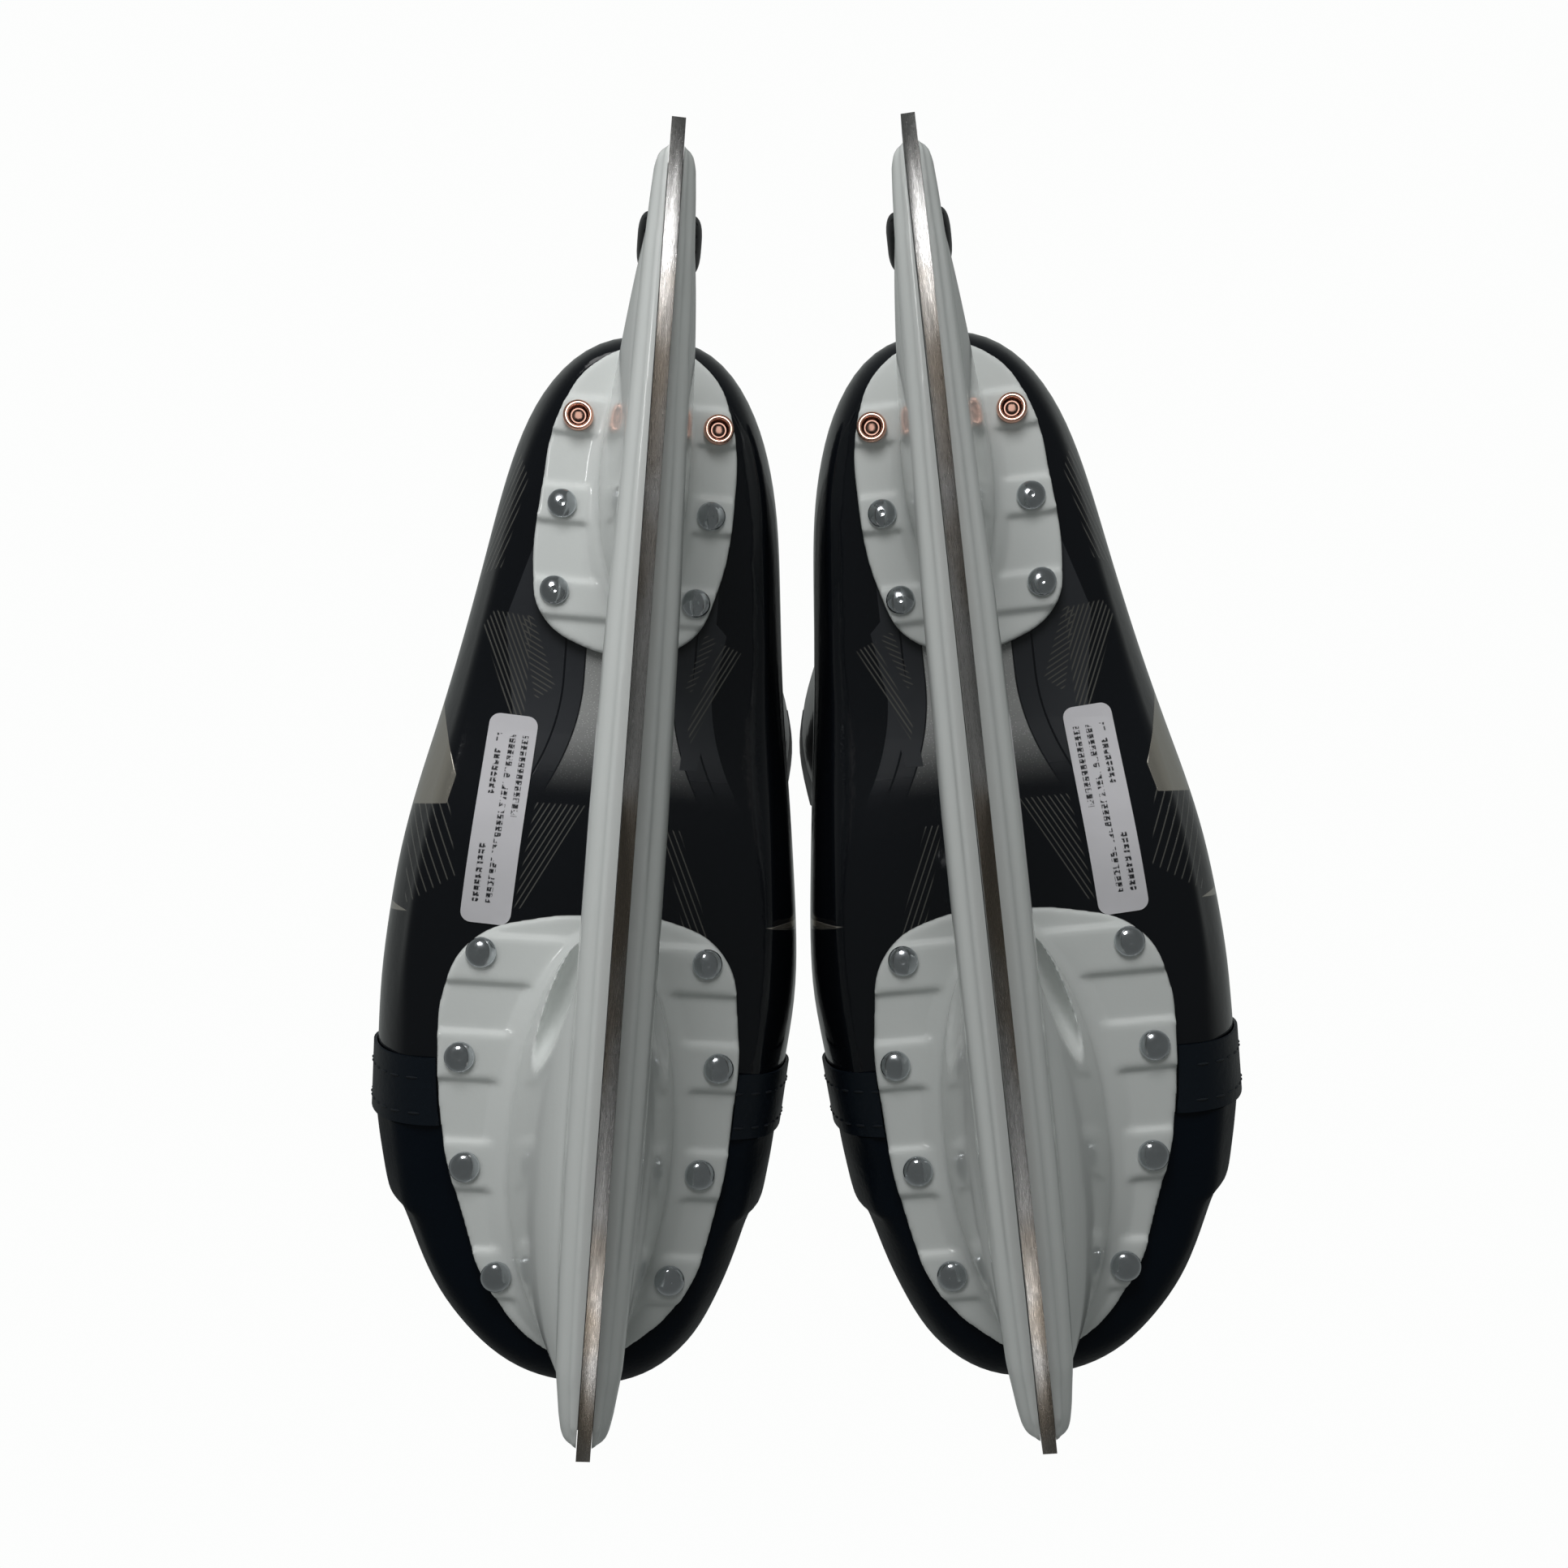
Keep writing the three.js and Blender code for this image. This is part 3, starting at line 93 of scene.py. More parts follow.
class SkateFrame:
    """The left skate's own frame, read from the record, and its mirror for the right one."""

    def __init__(self, record: dict) -> None:
        """Reads the axes from the runner's mount and the lock dial's hinge.

        Args:
            record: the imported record.
        """
        mounts = {mount["name"]: mount for mount in record["mounts"]}
        joints = {joint["name"]: joint for joint in record["behaviour"]["joints"]}
        edge = mounts["left_runner_edge"]
        across = Vector(joints["left_dial_turn"]["axis"]).normalized()
        up = -Vector(edge["axis"]).normalized()
        along = up.cross(across).normalized()
        turn = Matrix((across, along, up)).transposed().to_4x4()
        self.left = Matrix.Translation(Vector(edge["pos_m"])) @ turn

    def matrix(self, side: Side) -> Matrix:
        """Returns the matrix that sets a piece, in metres, in its skate's standing place."""
        if side is Side.LEFT:
            return self.left.copy()
        return Matrix.Diagonal((-1.0, 1.0, 1.0, 1.0)) @ self.left

    def local_points(self, node: str) -> np.ndarray:
        """Returns a left CAD node's points in the skate's own frame, in millimetres."""
        back = self.left.inverted()
        points = [back @ v.co for v in frame["nodes"][f"left_{node}"].data.vertices]
        return np.array(points, float) / MM

    def local_box(self, node: str) -> tuple[np.ndarray, np.ndarray]:
        """Returns the lowest and highest corner of a left CAD node, in its own frame."""
        points = self.local_points(node)
        return points.min(axis=0), points.max(axis=0)


# ------------------------------------------------------------------ the bench: modelling by operator
def deselect() -> None:
    """Leaves edit mode and deselects everything."""
    if bpy.context.mode != "OBJECT":
        bpy.ops.object.mode_set(mode="OBJECT")
    bpy.ops.object.select_all(action="DESELECT")


def take(piece: bpy.types.Object) -> bpy.types.Object:
    """Selects one object alone, makes it active and returns it."""
    deselect()
    piece.select_set(True)
    bpy.context.view_layer.objects.active = piece
    return piece


def edit(piece: bpy.types.Object, select: bool = True) -> None:
    """Enters edit mode on one object.

    Args:
        piece: the object to edit.
        select: whether all of its mesh starts selected.
    """
    take(piece)
    bpy.ops.object.mode_set(mode="EDIT")
    bpy.ops.mesh.select_all(action="SELECT" if select else "DESELECT")


def leave() -> bpy.types.Object:
    """Leaves edit mode and returns the object that was edited."""
    bpy.ops.object.mode_set(mode="OBJECT")
    return bpy.context.view_layer.objects.active


def added(name: str) -> bpy.types.Object:
    """Names the primitive that was just added and returns it."""
    piece = bpy.context.view_layer.objects.active
    piece.name = name
    return piece


def settle(piece: bpy.types.Object) -> bpy.types.Object:
    """Puts an object's place, turn and scale into its mesh."""
    take(piece)
    bpy.ops.object.transform_apply(location=True, rotation=True, scale=True)
    return piece


def modified(piece: bpy.types.Object, kind: str, **settings: object) -> bpy.types.Object:
    """Adds one modifier and applies it.

    Args:
        piece: the object to change.
        kind: the modifier's type.
        **settings: the modifier's properties.

    Returns:
        The same object.
    """
    take(piece)
    modifier = piece.modifiers.new(kind.lower(), kind)
    for key, value in settings.items():
        setattr(modifier, key, value)
    bpy.ops.object.modifier_apply(modifier=modifier.name)
    return piece


def joined(pieces: list[bpy.types.Object], name: str) -> bpy.types.Object:
    """Joins objects into the first of them and returns it."""
    take(pieces[0])
    for piece in pieces:
        piece.select_set(True)
    if len(pieces) > 1:
        bpy.ops.object.join()
    return added(name)


def removed(pieces: list[bpy.types.Object]) -> None:
    """Deletes tools that are no longer needed."""
    for piece in pieces:
        bpy.data.objects.remove(piece)


def cut(piece: bpy.types.Object, tools: list[bpy.types.Object]) -> bpy.types.Object:
    """Cuts tools out of a piece and deletes them."""
    for tool in tools:
        modified(piece, "BOOLEAN", operation="DIFFERENCE", solver="EXACT", object=tool)
    removed(tools)
    return piece


def moulded(piece: bpy.types.Object, voxel: float, rounds: int) -> bpy.types.Object:
    """Fuses a piece's bodies into one skin with soft inner corners.

    Args:
        piece: the object to fuse.
        voxel: size of the new faces, in metres.
        rounds: how often the skin is relaxed.

    Returns:
        The same object.
    """
    modified(piece, "REMESH", mode="VOXEL", voxel_size=voxel)
    return modified(piece, "SMOOTH", factor=0.5, iterations=rounds)


def smooth(piece: bpy.types.Object, degrees: float = 35.0) -> bpy.types.Object:
    """Shades a piece smooth except at its sharp edges."""
    take(piece)
    bpy.ops.object.shade_smooth_by_angle(angle=math.radians(degrees))
    return piece


def copied(piece: bpy.types.Object, name: str) -> bpy.types.Object:
    """Returns a copy of an object with its own mesh."""
    twin = piece.copy()
    twin.data = piece.data.copy()
    twin.name = name
    bpy.context.scene.collection.objects.link(twin)
    return twin


def points_of(mesh: bpy.types.Mesh) -> np.ndarray:
    """Returns a mesh's points as an array."""
    values = np.zeros(len(mesh.vertices) * 3)
    mesh.vertices.foreach_get("co", values)
    return values.reshape(-1, 3)


def set_points(mesh: bpy.types.Mesh, points: np.ndarray) -> None:
    """Gives a mesh new points."""
    mesh.vertices.foreach_set("co", points.astype(np.float32).ravel())
    mesh.update()


def facing_along(direction: Vector, place: Vector) -> Matrix:
    """Returns the matrix that turns a piece's z axis along a direction and moves it to a place."""
    return Matrix.Translation(place) @ direction.to_track_quat("Z", "Y").to_matrix().to_4x4()


def of_node(place: SkateFrame, node: str, name: str, quads: bool = True) -> bpy.types.Object:
    """Copies a left CAD node into the skate's own frame, with its loose triangles merged.

    Args:
        place: the skate's frame.
        node: the node's name without its side.
        name: the new object's name.
        quads: whether pairs of triangles become quads.

    Returns:
        The copy, in metres.
    """
    source = frame["nodes"][f"left_{node}"]
    piece = bpy.data.objects.new(name, source.data.copy())
    bpy.context.scene.collection.objects.link(piece)
    piece.data.materials.clear()
    piece.data.transform(place.left.inverted())
    edit(piece)
    bpy.ops.mesh.remove_doubles(threshold=0.00002)
    if quads:
        bpy.ops.mesh.tris_convert_to_quads(
            face_threshold=math.radians(40), shape_threshold=math.radians(60))
    bpy.ops.mesh.normals_make_consistent(inside=False)
    return leave()


def creased(piece: bpy.types.Object, degrees: float, strength: float = 1.0) -> bpy.types.Object:
    """Creases a piece's sharp edges, so that a subdivision keeps them."""
    edit(piece, select=False)
    bpy.ops.mesh.select_mode(type="EDGE")
    bpy.ops.mesh.edges_select_sharp(sharpness=math.radians(degrees))
    bpy.ops.transform.edge_crease(value=strength)
    bpy.ops.mesh.select_mode(type="VERT")
    return leave()


def subdivided(piece: bpy.types.Object, levels: int, rounds: int = 4) -> bpy.types.Object:
    """Subdivides a piece and keeps its points where they were.

    A subdivision surface shrinks towards the middle of its cage, so the cage is first grown until
    the surface passes through the points that the cage had.

    Args:
        piece: the object to subdivide.
        levels: how often each face is split.
        rounds: how often the cage is corrected.

    Returns:
        The same object.
    """
    wanted = points_of(piece.data)
    take(piece)
    modifier = piece.modifiers.new("subdivision", "SUBSURF")
    modifier.levels = modifier.render_levels = levels
    for _ in range(rounds):
        graph = bpy.context.evaluated_depsgraph_get()
        surface = points_of(piece.evaluated_get(graph).data)[: len(wanted)]
        set_points(piece.data, points_of(piece.data) + 0.8 * (wanted - surface))
    bpy.ops.object.modifier_apply(modifier=modifier.name)
    return piece


def ellipse_loft(name: str, rings: list[tuple[float, float, float, float, float]],
                 sides: int) -> bpy.types.Object:
    """Extrudes a circle from ring to ring, scaled and moved at each.

    Args:
        name: the new object's name.
        rings: centre x, centre y, z, half width and half length of each ring, in millimetres.
        sides: points in a ring.

    Returns:
        The closed loft, in metres.
    """
    x, y, z, wide, long = rings[0]
    deselect()
    bpy.ops.mesh.primitive_circle_add(vertices=sides, radius=MM, fill_type="NGON", location=(0, 0, 0))
    piece = added(name)
    edit(piece)
    bpy.ops.transform.resize(value=(wide, long, 1))
    bpy.ops.transform.translate(value=(x * MM, y * MM, z * MM))
    for (x0, y0, z0, w0, l0), (x1, y1, z1, w1, l1) in zip(rings, rings[1:]):
        step = ((x1 - x0) * MM, (y1 - y0) * MM, (z1 - z0) * MM)
        bpy.ops.mesh.extrude_region_move(TRANSFORM_OT_translate={"value": step})
        centre = (x1 * MM, y1 * MM, z1 * MM)
        bpy.ops.transform.resize(value=(w1 / w0, l1 / l0, 1), center_override=centre)
    bpy.ops.mesh.select_all(action="SELECT")
    bpy.ops.mesh.normals_make_consistent(inside=False)
    return leave()


def block(name: str, low: Point, high: Point, bevel: float = 0.0, segments: int = 3) -> bpy.types.Object:
    """Makes a box between two corners, in millimetres, with rounded edges."""
    centre = [(a + b) / 2 * MM for a, b in zip(low, high)]
    deselect()
    bpy.ops.mesh.primitive_cube_add(size=1, location=centre)
    piece = added(name)
    piece.scale = [(b - a) * MM for a, b in zip(low, high)]
    settle(piece)
    if bevel:
        modified(piece, "BEVEL", width=bevel * MM, segments=segments, limit_method="NONE")
    return piece


def round_bar(name: str, x0: float, x1: float, y: float, z: float, radius: float,
              sides: int = 48) -> bpy.types.Object:
    """Makes a round bar that lies across the skate, in millimetres."""
    deselect()
    bpy.ops.mesh.primitive_cylinder_add(
        vertices=sides, radius=radius * MM, depth=(x1 - x0) * MM,
        location=((x0 + x1) / 2 * MM, y * MM, z * MM), rotation=(0, math.pi / 2, 0),
    )
    return settle(added(name))


# ------------------------------------------------------------------ finishes
class Nodes:
    """One material's node tree, built a call at a time."""

    def __init__(self, name: str) -> None:
        """Starts a material with its surface shader.

        Args:
            name: the material's name.
        """
        self.material = bpy.data.materials.new(name)
        self.material.use_nodes = True
        self.tree = self.material.node_tree
        self.shader = self.tree.nodes["Principled BSDF"]

    def node(self, kind: str, **settings: object) -> bpy.types.Node:
        """Returns a new node of one kind with its properties set."""
        made = self.tree.nodes.new(kind)
        for key, value in settings.items():
            setattr(made, key, value)
        return made

    def feed(self, socket: bpy.types.NodeSocket, value: object) -> None:
        """Links a socket to another, or sets it to a number or colour."""
        if isinstance(value, bpy.types.NodeSocket):
            self.tree.links.new(value, socket)
        elif isinstance(value, tuple) and len(value) == 3 and len(socket.default_value) == 4:
            socket.default_value = (*value, 1.0)
        else:
            socket.default_value = value

    def surface(self, **inputs: object) -> None:
        """Sets the shader's inputs by their names, with underscores for spaces."""
        for key, value in inputs.items():
            self.feed(self.shader.inputs[key.replace("_", " ")], value)

    def place(self) -> bpy.types.NodeSocket:
        """Returns the point's place in the skate's own frame, in millimetres."""
        return self.node("ShaderNodeAttribute", attribute_name=PLACE).outputs["Vector"]

    def objects(self) -> bpy.types.NodeSocket:
        """Returns the object coordinates, in metres."""
        return self.node("ShaderNodeTexCoord").outputs["Object"]

    def scaled(self, vector: bpy.types.NodeSocket, scale: Point) -> bpy.types.NodeSocket:
        """Returns a vector scaled along each axis."""
        made = self.node("ShaderNodeMapping")
        self.feed(made.inputs["Vector"], vector)
        made.inputs["Scale"].default_value = scale
        return made.outputs["Vector"]

    def maths(self, operation: str, first: object, second: object = 0.0) -> bpy.types.NodeSocket:
        """Returns one sum of two numbers or sockets."""
        made = self.node("ShaderNodeMath", operation=operation)
        self.feed(made.inputs[0], first)
        self.feed(made.inputs[1], second)
        return made.outputs[0]

    def dot(self, vector: bpy.types.NodeSocket, direction: Point) -> bpy.types.NodeSocket:
        """Returns how far a vector lies along a direction."""
        made = self.node("ShaderNodeVectorMath", operation="DOT_PRODUCT")
        self.feed(made.inputs[0], vector)
        made.inputs[1].default_value = direction
        return made.outputs["Value"]

    def ramp(self, value: bpy.types.NodeSocket, low: float, high: float, start: float = 0.0,
             end: float = 1.0) -> bpy.types.NodeSocket:
        """Returns a value turned smoothly from one range into another."""
        made = self.node("ShaderNodeMapRange", interpolation_type="SMOOTHSTEP")
        self.feed(made.inputs["Value"], value)
        made.inputs["From Min"].default_value = low
        made.inputs["From Max"].default_value = high
        made.inputs["To Min"].default_value = start
        made.inputs["To Max"].default_value = end
        return made.outputs["Result"]

    def noise(self, vector: bpy.types.NodeSocket, scale: float, detail: float = 3.0,
              roughness: float = 0.5) -> bpy.types.NodeSocket:
        """Returns a cloudy value from 0 to 1."""
        made = self.node("ShaderNodeTexNoise")
        self.feed(made.inputs["Vector"], vector)
        made.inputs["Scale"].default_value = scale
        made.inputs["Detail"].default_value = detail
        made.inputs["Roughness"].default_value = roughness
        return made.outputs["Fac"]

    def cells(self, vector: bpy.types.NodeSocket, scale: float) -> bpy.types.NodeSocket:
        """Returns the distance to the nearest of many scattered points."""
        made = self.node("ShaderNodeTexVoronoi")
        self.feed(made.inputs["Vector"], vector)
        made.inputs["Scale"].default_value = scale
        return made.outputs["Distance"]

    def mix(self, share: object, first: object, second: object) -> bpy.types.NodeSocket:
        """Returns a colour between two others."""
        made = self.node("ShaderNodeMix", data_type="RGBA")
        self.feed(made.inputs["Factor"], share)
        self.feed(made.inputs[6], first)
        self.feed(made.inputs[7], second)
        return made.outputs[2]

    def bump(self, height: bpy.types.NodeSocket, depth: float, strength: float = 1.0,
             under: bpy.types.NodeSocket | None = None) -> bpy.types.NodeSocket:
        """Returns a normal bumped by a height.

        Args:
            height: the height, from 0 to 1.
            depth: what a height of 1 stands for, in metres.
            strength: the share of the effect.
            under: a normal that is already bumped.
        """
        made = self.node("ShaderNodeBump")
        made.inputs["Distance"].default_value = depth
        made.inputs["Strength"].default_value = strength
        self.feed(made.inputs["Height"], height)
        if under is not None:
            self.feed(made.inputs["Normal"], under)
        return made.outputs["Normal"]

    def strongest(self, shares: list[bpy.types.NodeSocket]) -> bpy.types.NodeSocket:
        """Returns the largest of several values."""
        result = shares[0]
        for share in shares[1:]:
            result = self.maths("MAXIMUM", result, share)
        return result

    def inside(self, place: bpy.types.NodeSocket, corners: Outline,
               soft: float = 0.15) -> bpy.types.NodeSocket:
        """Returns 1 inside a convex outline in plan, and 0 outside it.

        Args:
            place: the point's place, in millimetres.
            corners: the outline's corners, in either direction.
            soft: the width of its edge, in millimetres.
        """
        shares = []
        pairs = zip(corners, corners[1:] + corners[:1])
        if sum(x0 * y1 - x1 * y0 for (x0, y0), (x1, y1) in pairs) < 0:
            corners = corners[::-1]
        for (x0, y0), (x1, y1) in zip(corners, corners[1:] + corners[:1]):
            length = math.hypot(x1 - x0, y1 - y0)
            inward = (-(y1 - y0) / length, (x1 - x0) / length, 0.0)
            reach = inward[0] * x0 + inward[1] * y0
            shares.append(self.ramp(self.dot(place, inward), reach - soft, reach + soft))
        result = shares[0]
        for share in shares[1:]:
            result = self.maths("MULTIPLY", result, share)
        return result

    def stripes(self, place: bpy.types.NodeSocket, degrees: float, pitch: float,
                width: float) -> bpy.types.NodeSocket:
        """Returns 1 on parallel lines in plan.

        Args:
            place: the point's place, in millimetres.
            degrees: the lines' direction, from the skate's x axis.
            pitch: the distance from line to line, in millimetres.
            width: a line's width, in millimetres.
        """
        turn = math.radians(degrees)
        across = self.dot(place, (-math.sin(turn) / pitch, math.cos(turn) / pitch, 0.0))
        nearest = self.maths("ABSOLUTE", self.maths("SUBTRACT", self.maths("FRACT", across), 0.5))
        half = width / pitch / 2
        return self.ramp(nearest, half * 0.6, half * 1.4, 1.0, 0.0)


@dataclass(frozen=True)
class Plastic:
    """A moulded plastic: its colour, gloss and the fine orange peel of its skin."""

    name: str
    colour: Colour
    roughness: float
    grain: float = 900.0
    grain_depth: float = 0.00002
    variation: float = 0.06
    coat: float = 0.0
    specular: float = 0.5

    def material(self) -> bpy.types.Material:
        """Returns the finish as a material."""
        nodes = Nodes(self.name)
        objects = nodes.objects()
        cloud = nodes.noise(objects, 28.0, 4.0, 0.6)
        darker = tuple(c * (1 - self.variation) for c in self.colour)
        nodes.surface(
            Base_Color=nodes.mix(cloud, darker, self.colour),
            Roughness=nodes.ramp(cloud, 0.3, 0.7, self.roughness * 0.85, self.roughness * 1.15),
            Normal=nodes.bump(nodes.noise(objects, self.grain, 2.0), self.grain_depth),
            Specular_IOR_Level=self.specular,
            Coat_Weight=self.coat,
            Coat_Roughness=0.06,
        )
        return nodes.material


@dataclass(frozen=True)
class Metal:
    """A plated or polished metal with faint scuffs, and painted shade inside a marked rivet bore."""

    name: str
    colour: Colour
    roughness: float
    scuffs: float = 0.1

    def material(self) -> bpy.types.Material:
        """Returns the finish as a material."""
        nodes = Nodes(self.name)
        objects = nodes.objects()
        cloud = nodes.noise(objects, 420.0, 4.0, 0.6)
        dull = tuple(c * 0.82 for c in self.colour)
        # painted shade: points inside a hollow rivet's bore take a much darker copy of the colour
        bore_shade = nodes.node("ShaderNodeAttribute", attribute_name=BORE_SHADE).outputs["Fac"]
        bore_shade_colour = tuple(c * 0.12 for c in self.colour)
        nodes.surface(
            Base_Color=nodes.mix(bore_shade, nodes.mix(cloud, dull, self.colour), bore_shade_colour),
            Metallic=1.0,
            Roughness=nodes.ramp(cloud, 0.35, 0.75, self.roughness, self.roughness + self.scuffs),
            Normal=nodes.bump(nodes.noise(objects, 900.0, 2.0), 0.00001),
        )
        return nodes.material


@dataclass(frozen=True)
class BrushedSteel:
    """Ground steel, with fine marks along its length and a darker stain in places."""

    name: str
    colour: Colour
    stain: Colour
    roughness: float

    def material(self) -> bpy.types.Material:
        """Returns the finish as a material."""
        nodes = Nodes(self.name)
        place = nodes.place()
        marks = nodes.noise(nodes.scaled(place, (9.0, 0.22, 2.0)), 1.0, 5.0, 0.65)
        patches = nodes.noise(nodes.scaled(place, (0.05, 0.018, 0.05)), 1.0, 3.0, 0.5)
        stained = nodes.mix(nodes.ramp(patches, 0.42, 0.62), self.colour, self.stain)
        nodes.surface(
            Base_Color=nodes.mix(nodes.ramp(marks, 0.3, 0.7, 0.0, 0.45), stained, (0.08, 0.075, 0.07)),
            Metallic=1.0,
            Roughness=nodes.ramp(marks, 0.3, 0.7, self.roughness * 0.75, self.roughness * 1.3),
            Anisotropic=0.5,
            Normal=nodes.bump(marks, 0.00006, 0.6),
        )
        return nodes.material


@dataclass(frozen=True)
class Cloth:
    """A felt, foam or coated cloth: a fibrous nap, or a weave of a given pitch."""

    name: str
    colour: Colour
    thread: Colour
    roughness: float = 0.95
    weave: float = 0.0
    sheen: float = 0.3

    def material(self) -> bpy.types.Material:
        """Returns the finish as a material."""
        nodes = Nodes(self.name)
        objects = nodes.objects()
        nap = nodes.noise(objects, 1400.0, 5.0, 0.7)
        cloud = nodes.noise(objects, 60.0, 3.0)
        tone = nodes.mix(nodes.ramp(nap, 0.35, 0.7), self.colour, self.thread)
        height = nap
        if self.weave:
            place = nodes.place()
            warp = nodes.stripes(place, 0.0, self.weave, self.weave * 0.5)
            weft = nodes.stripes(place, 90.0, self.weave, self.weave * 0.5)
            height = nodes.maths("ADD", nodes.maths("MULTIPLY", warp, weft), nap)
        nodes.surface(
            Base_Color=nodes.mix(nodes.ramp(cloud, 0.3, 0.7, 0.0, 0.35), tone, self.colour),
            Roughness=self.roughness,
            Sheen_Weight=self.sheen,
            Sheen_Roughness=0.5,
            Normal=nodes.bump(height, 0.00035, 0.7),
        )
        return nodes.material


@dataclass(frozen=True)
class PrintedShell:
    """The boot's lacquered shell: gloss black, a glittering middle panel, matte bands and fine lines."""

    name: str
    black: Colour = (0.0045, 0.0055, 0.0075)
    band: Colour = (0.026, 0.028, 0.032)
    glitter: Colour = (0.60, 0.61, 0.60)
    line: Colour = (0.078, 0.077, 0.070)
    silver: Colour = (0.52, 0.49, 0.43)
    gloss: float = 0.09
    matte: float = 0.5
    waist_x: float = 2.0       # the glittering panel is centred on this line
    waist_y: float = 26.0
    waist_half: float = 11.2
    waist_growth: float = 0.0095
    band_width: float = 5.0
    pattern_top: float = 96.0
    marks_top: float = 104.0

    def material(self) -> bpy.types.Material:
        """Returns the finish as a material."""
        nodes = Nodes(self.name)
        place = nodes.place()
        objects = nodes.objects()
        out = self.from_waist(nodes, place)
        panel = nodes.maths(
            "MULTIPLY", nodes.ramp(out, -0.15, 0.15, 1.0, 0.0), self.along(nodes, place, -4.0, 20.0))
        first = self.ring(nodes, out, 0.35, self.band_width)
        second = self.ring(nodes, out, self.band_width + 0.5, 2 * self.band_width)
        bands = nodes.maths(
            "MULTIPLY", nodes.maths("MAXIMUM", first, second), self.along(nodes, place, -6.0, 12.0))
        bands = nodes.maths("MAXIMUM", bands, self.side_bands(nodes, place))
        height = nodes.dot(place, (0, 0, 1))
        low = nodes.ramp(height, self.pattern_top - 2, self.pattern_top, 1.0, 0.0)
        bands = nodes.maths("MULTIPLY", bands, low)
        lines = nodes.maths("MULTIPLY", self.line_fans(nodes, place), low)
        marks_low = nodes.ramp(height, self.marks_top - 0.3, self.marks_top, 1.0, 0.0)
        silver = nodes.maths("MULTIPLY", self.silver_marks(nodes, place), marks_low)
        sparkle = nodes.ramp(nodes.cells(objects, 1700.0), 0.05, 0.32, 1.0, 0.0)
        glitter = nodes.mix(sparkle, tuple(c * 0.5 for c in self.glitter), self.glitter)
        colour = nodes.mix(panel, self.black, glitter)
        colour = nodes.mix(bands, colour, self.band)
        colour = nodes.mix(lines, colour, self.line)
        colour = nodes.mix(silver, colour, self.silver)
        dull = nodes.maths("MAXIMUM", bands, nodes.maths("MULTIPLY", panel, 0.55))
        waves = nodes.noise(objects, 46.0, 3.0, 0.55)
        peel = nodes.noise(objects, 520.0, 2.0)
        raised = nodes.maths("MAXIMUM", nodes.maths("MAXIMUM", lines, bands), silver)
        normal = nodes.bump(waves, 0.0006, 0.4)
        normal = nodes.bump(peel, 0.00007, 0.6, normal)
        normal = nodes.bump(raised, 0.00012, 0.6, normal)
        normal = nodes.bump(nodes.maths("MULTIPLY", panel, sparkle), 0.00012, 0.8, normal)
        nodes.surface(
            Base_Color=colour,
            Roughness=nodes.ramp(dull, 0.0, 1.0, self.gloss, self.matte),
            Metallic=nodes.maths("MULTIPLY", silver, 0.85),
            Normal=normal,
            Specular_IOR_Level=0.32,
            Coat_Weight=0.18,
            Coat_Roughness=0.12,
        )
        return nodes.material

    def from_waist(self, nodes: Nodes, place: bpy.types.NodeSocket) -> bpy.types.NodeSocket:
        """Returns the distance out from the middle panel's waisted edge, in millimetres."""
        half = nodes.maths("ABSOLUTE", nodes.maths("SUBTRACT", nodes.dot(place, (1, 0, 0)), self.waist_x))
        below = nodes.maths("SUBTRACT", self.waist_y, nodes.dot(place, (0, 1, 0)))
        down = nodes.maths("MAXIMUM", below, 0.0)
        grown = nodes.maths("MULTIPLY", nodes.maths("POWER", down, 2.0), self.waist_growth)
        return nodes.maths("SUBTRACT", nodes.maths("SUBTRACT", half, self.waist_half), grown)

    def ring(self, nodes: Nodes, out: bpy.types.NodeSocket, low: float, high: float) -> bpy.types.NodeSocket:
        """Returns 1 between two distances out from the waist."""
        fade = nodes.ramp(out, high - 0.1, high + 0.1, 1.0, 0.0)
        return nodes.maths("MULTIPLY", nodes.ramp(out, low - 0.1, low + 0.1), fade)

    def along(self, nodes: Nodes, place: bpy.types.NodeSocket, low: float,
              high: float) -> bpy.types.NodeSocket:
        """Returns 1 from a fading low line to the middle of the heel plate."""
        y = nodes.dot(place, (0, 1, 0))
        return nodes.maths("MULTIPLY", nodes.ramp(y, low, high), nodes.ramp(y, 50.0, 60.0, 1.0, 0.0))

    def side_bands(self, nodes: Nodes, place: bpy.types.NodeSocket) -> bpy.types.NodeSocket:
        """Returns 1 on the matte wedges beside the heel plate and along the outer side."""
        outlines = [
            [(20, 44), (23, 8), (29, 8), (34, 40), (28, 60)],
            [(-16, 46), (-22, 40), (-16.5, 5), (-12, 5)],
        ]
        return nodes.strongest([nodes.inside(place, outline) for outline in outlines])

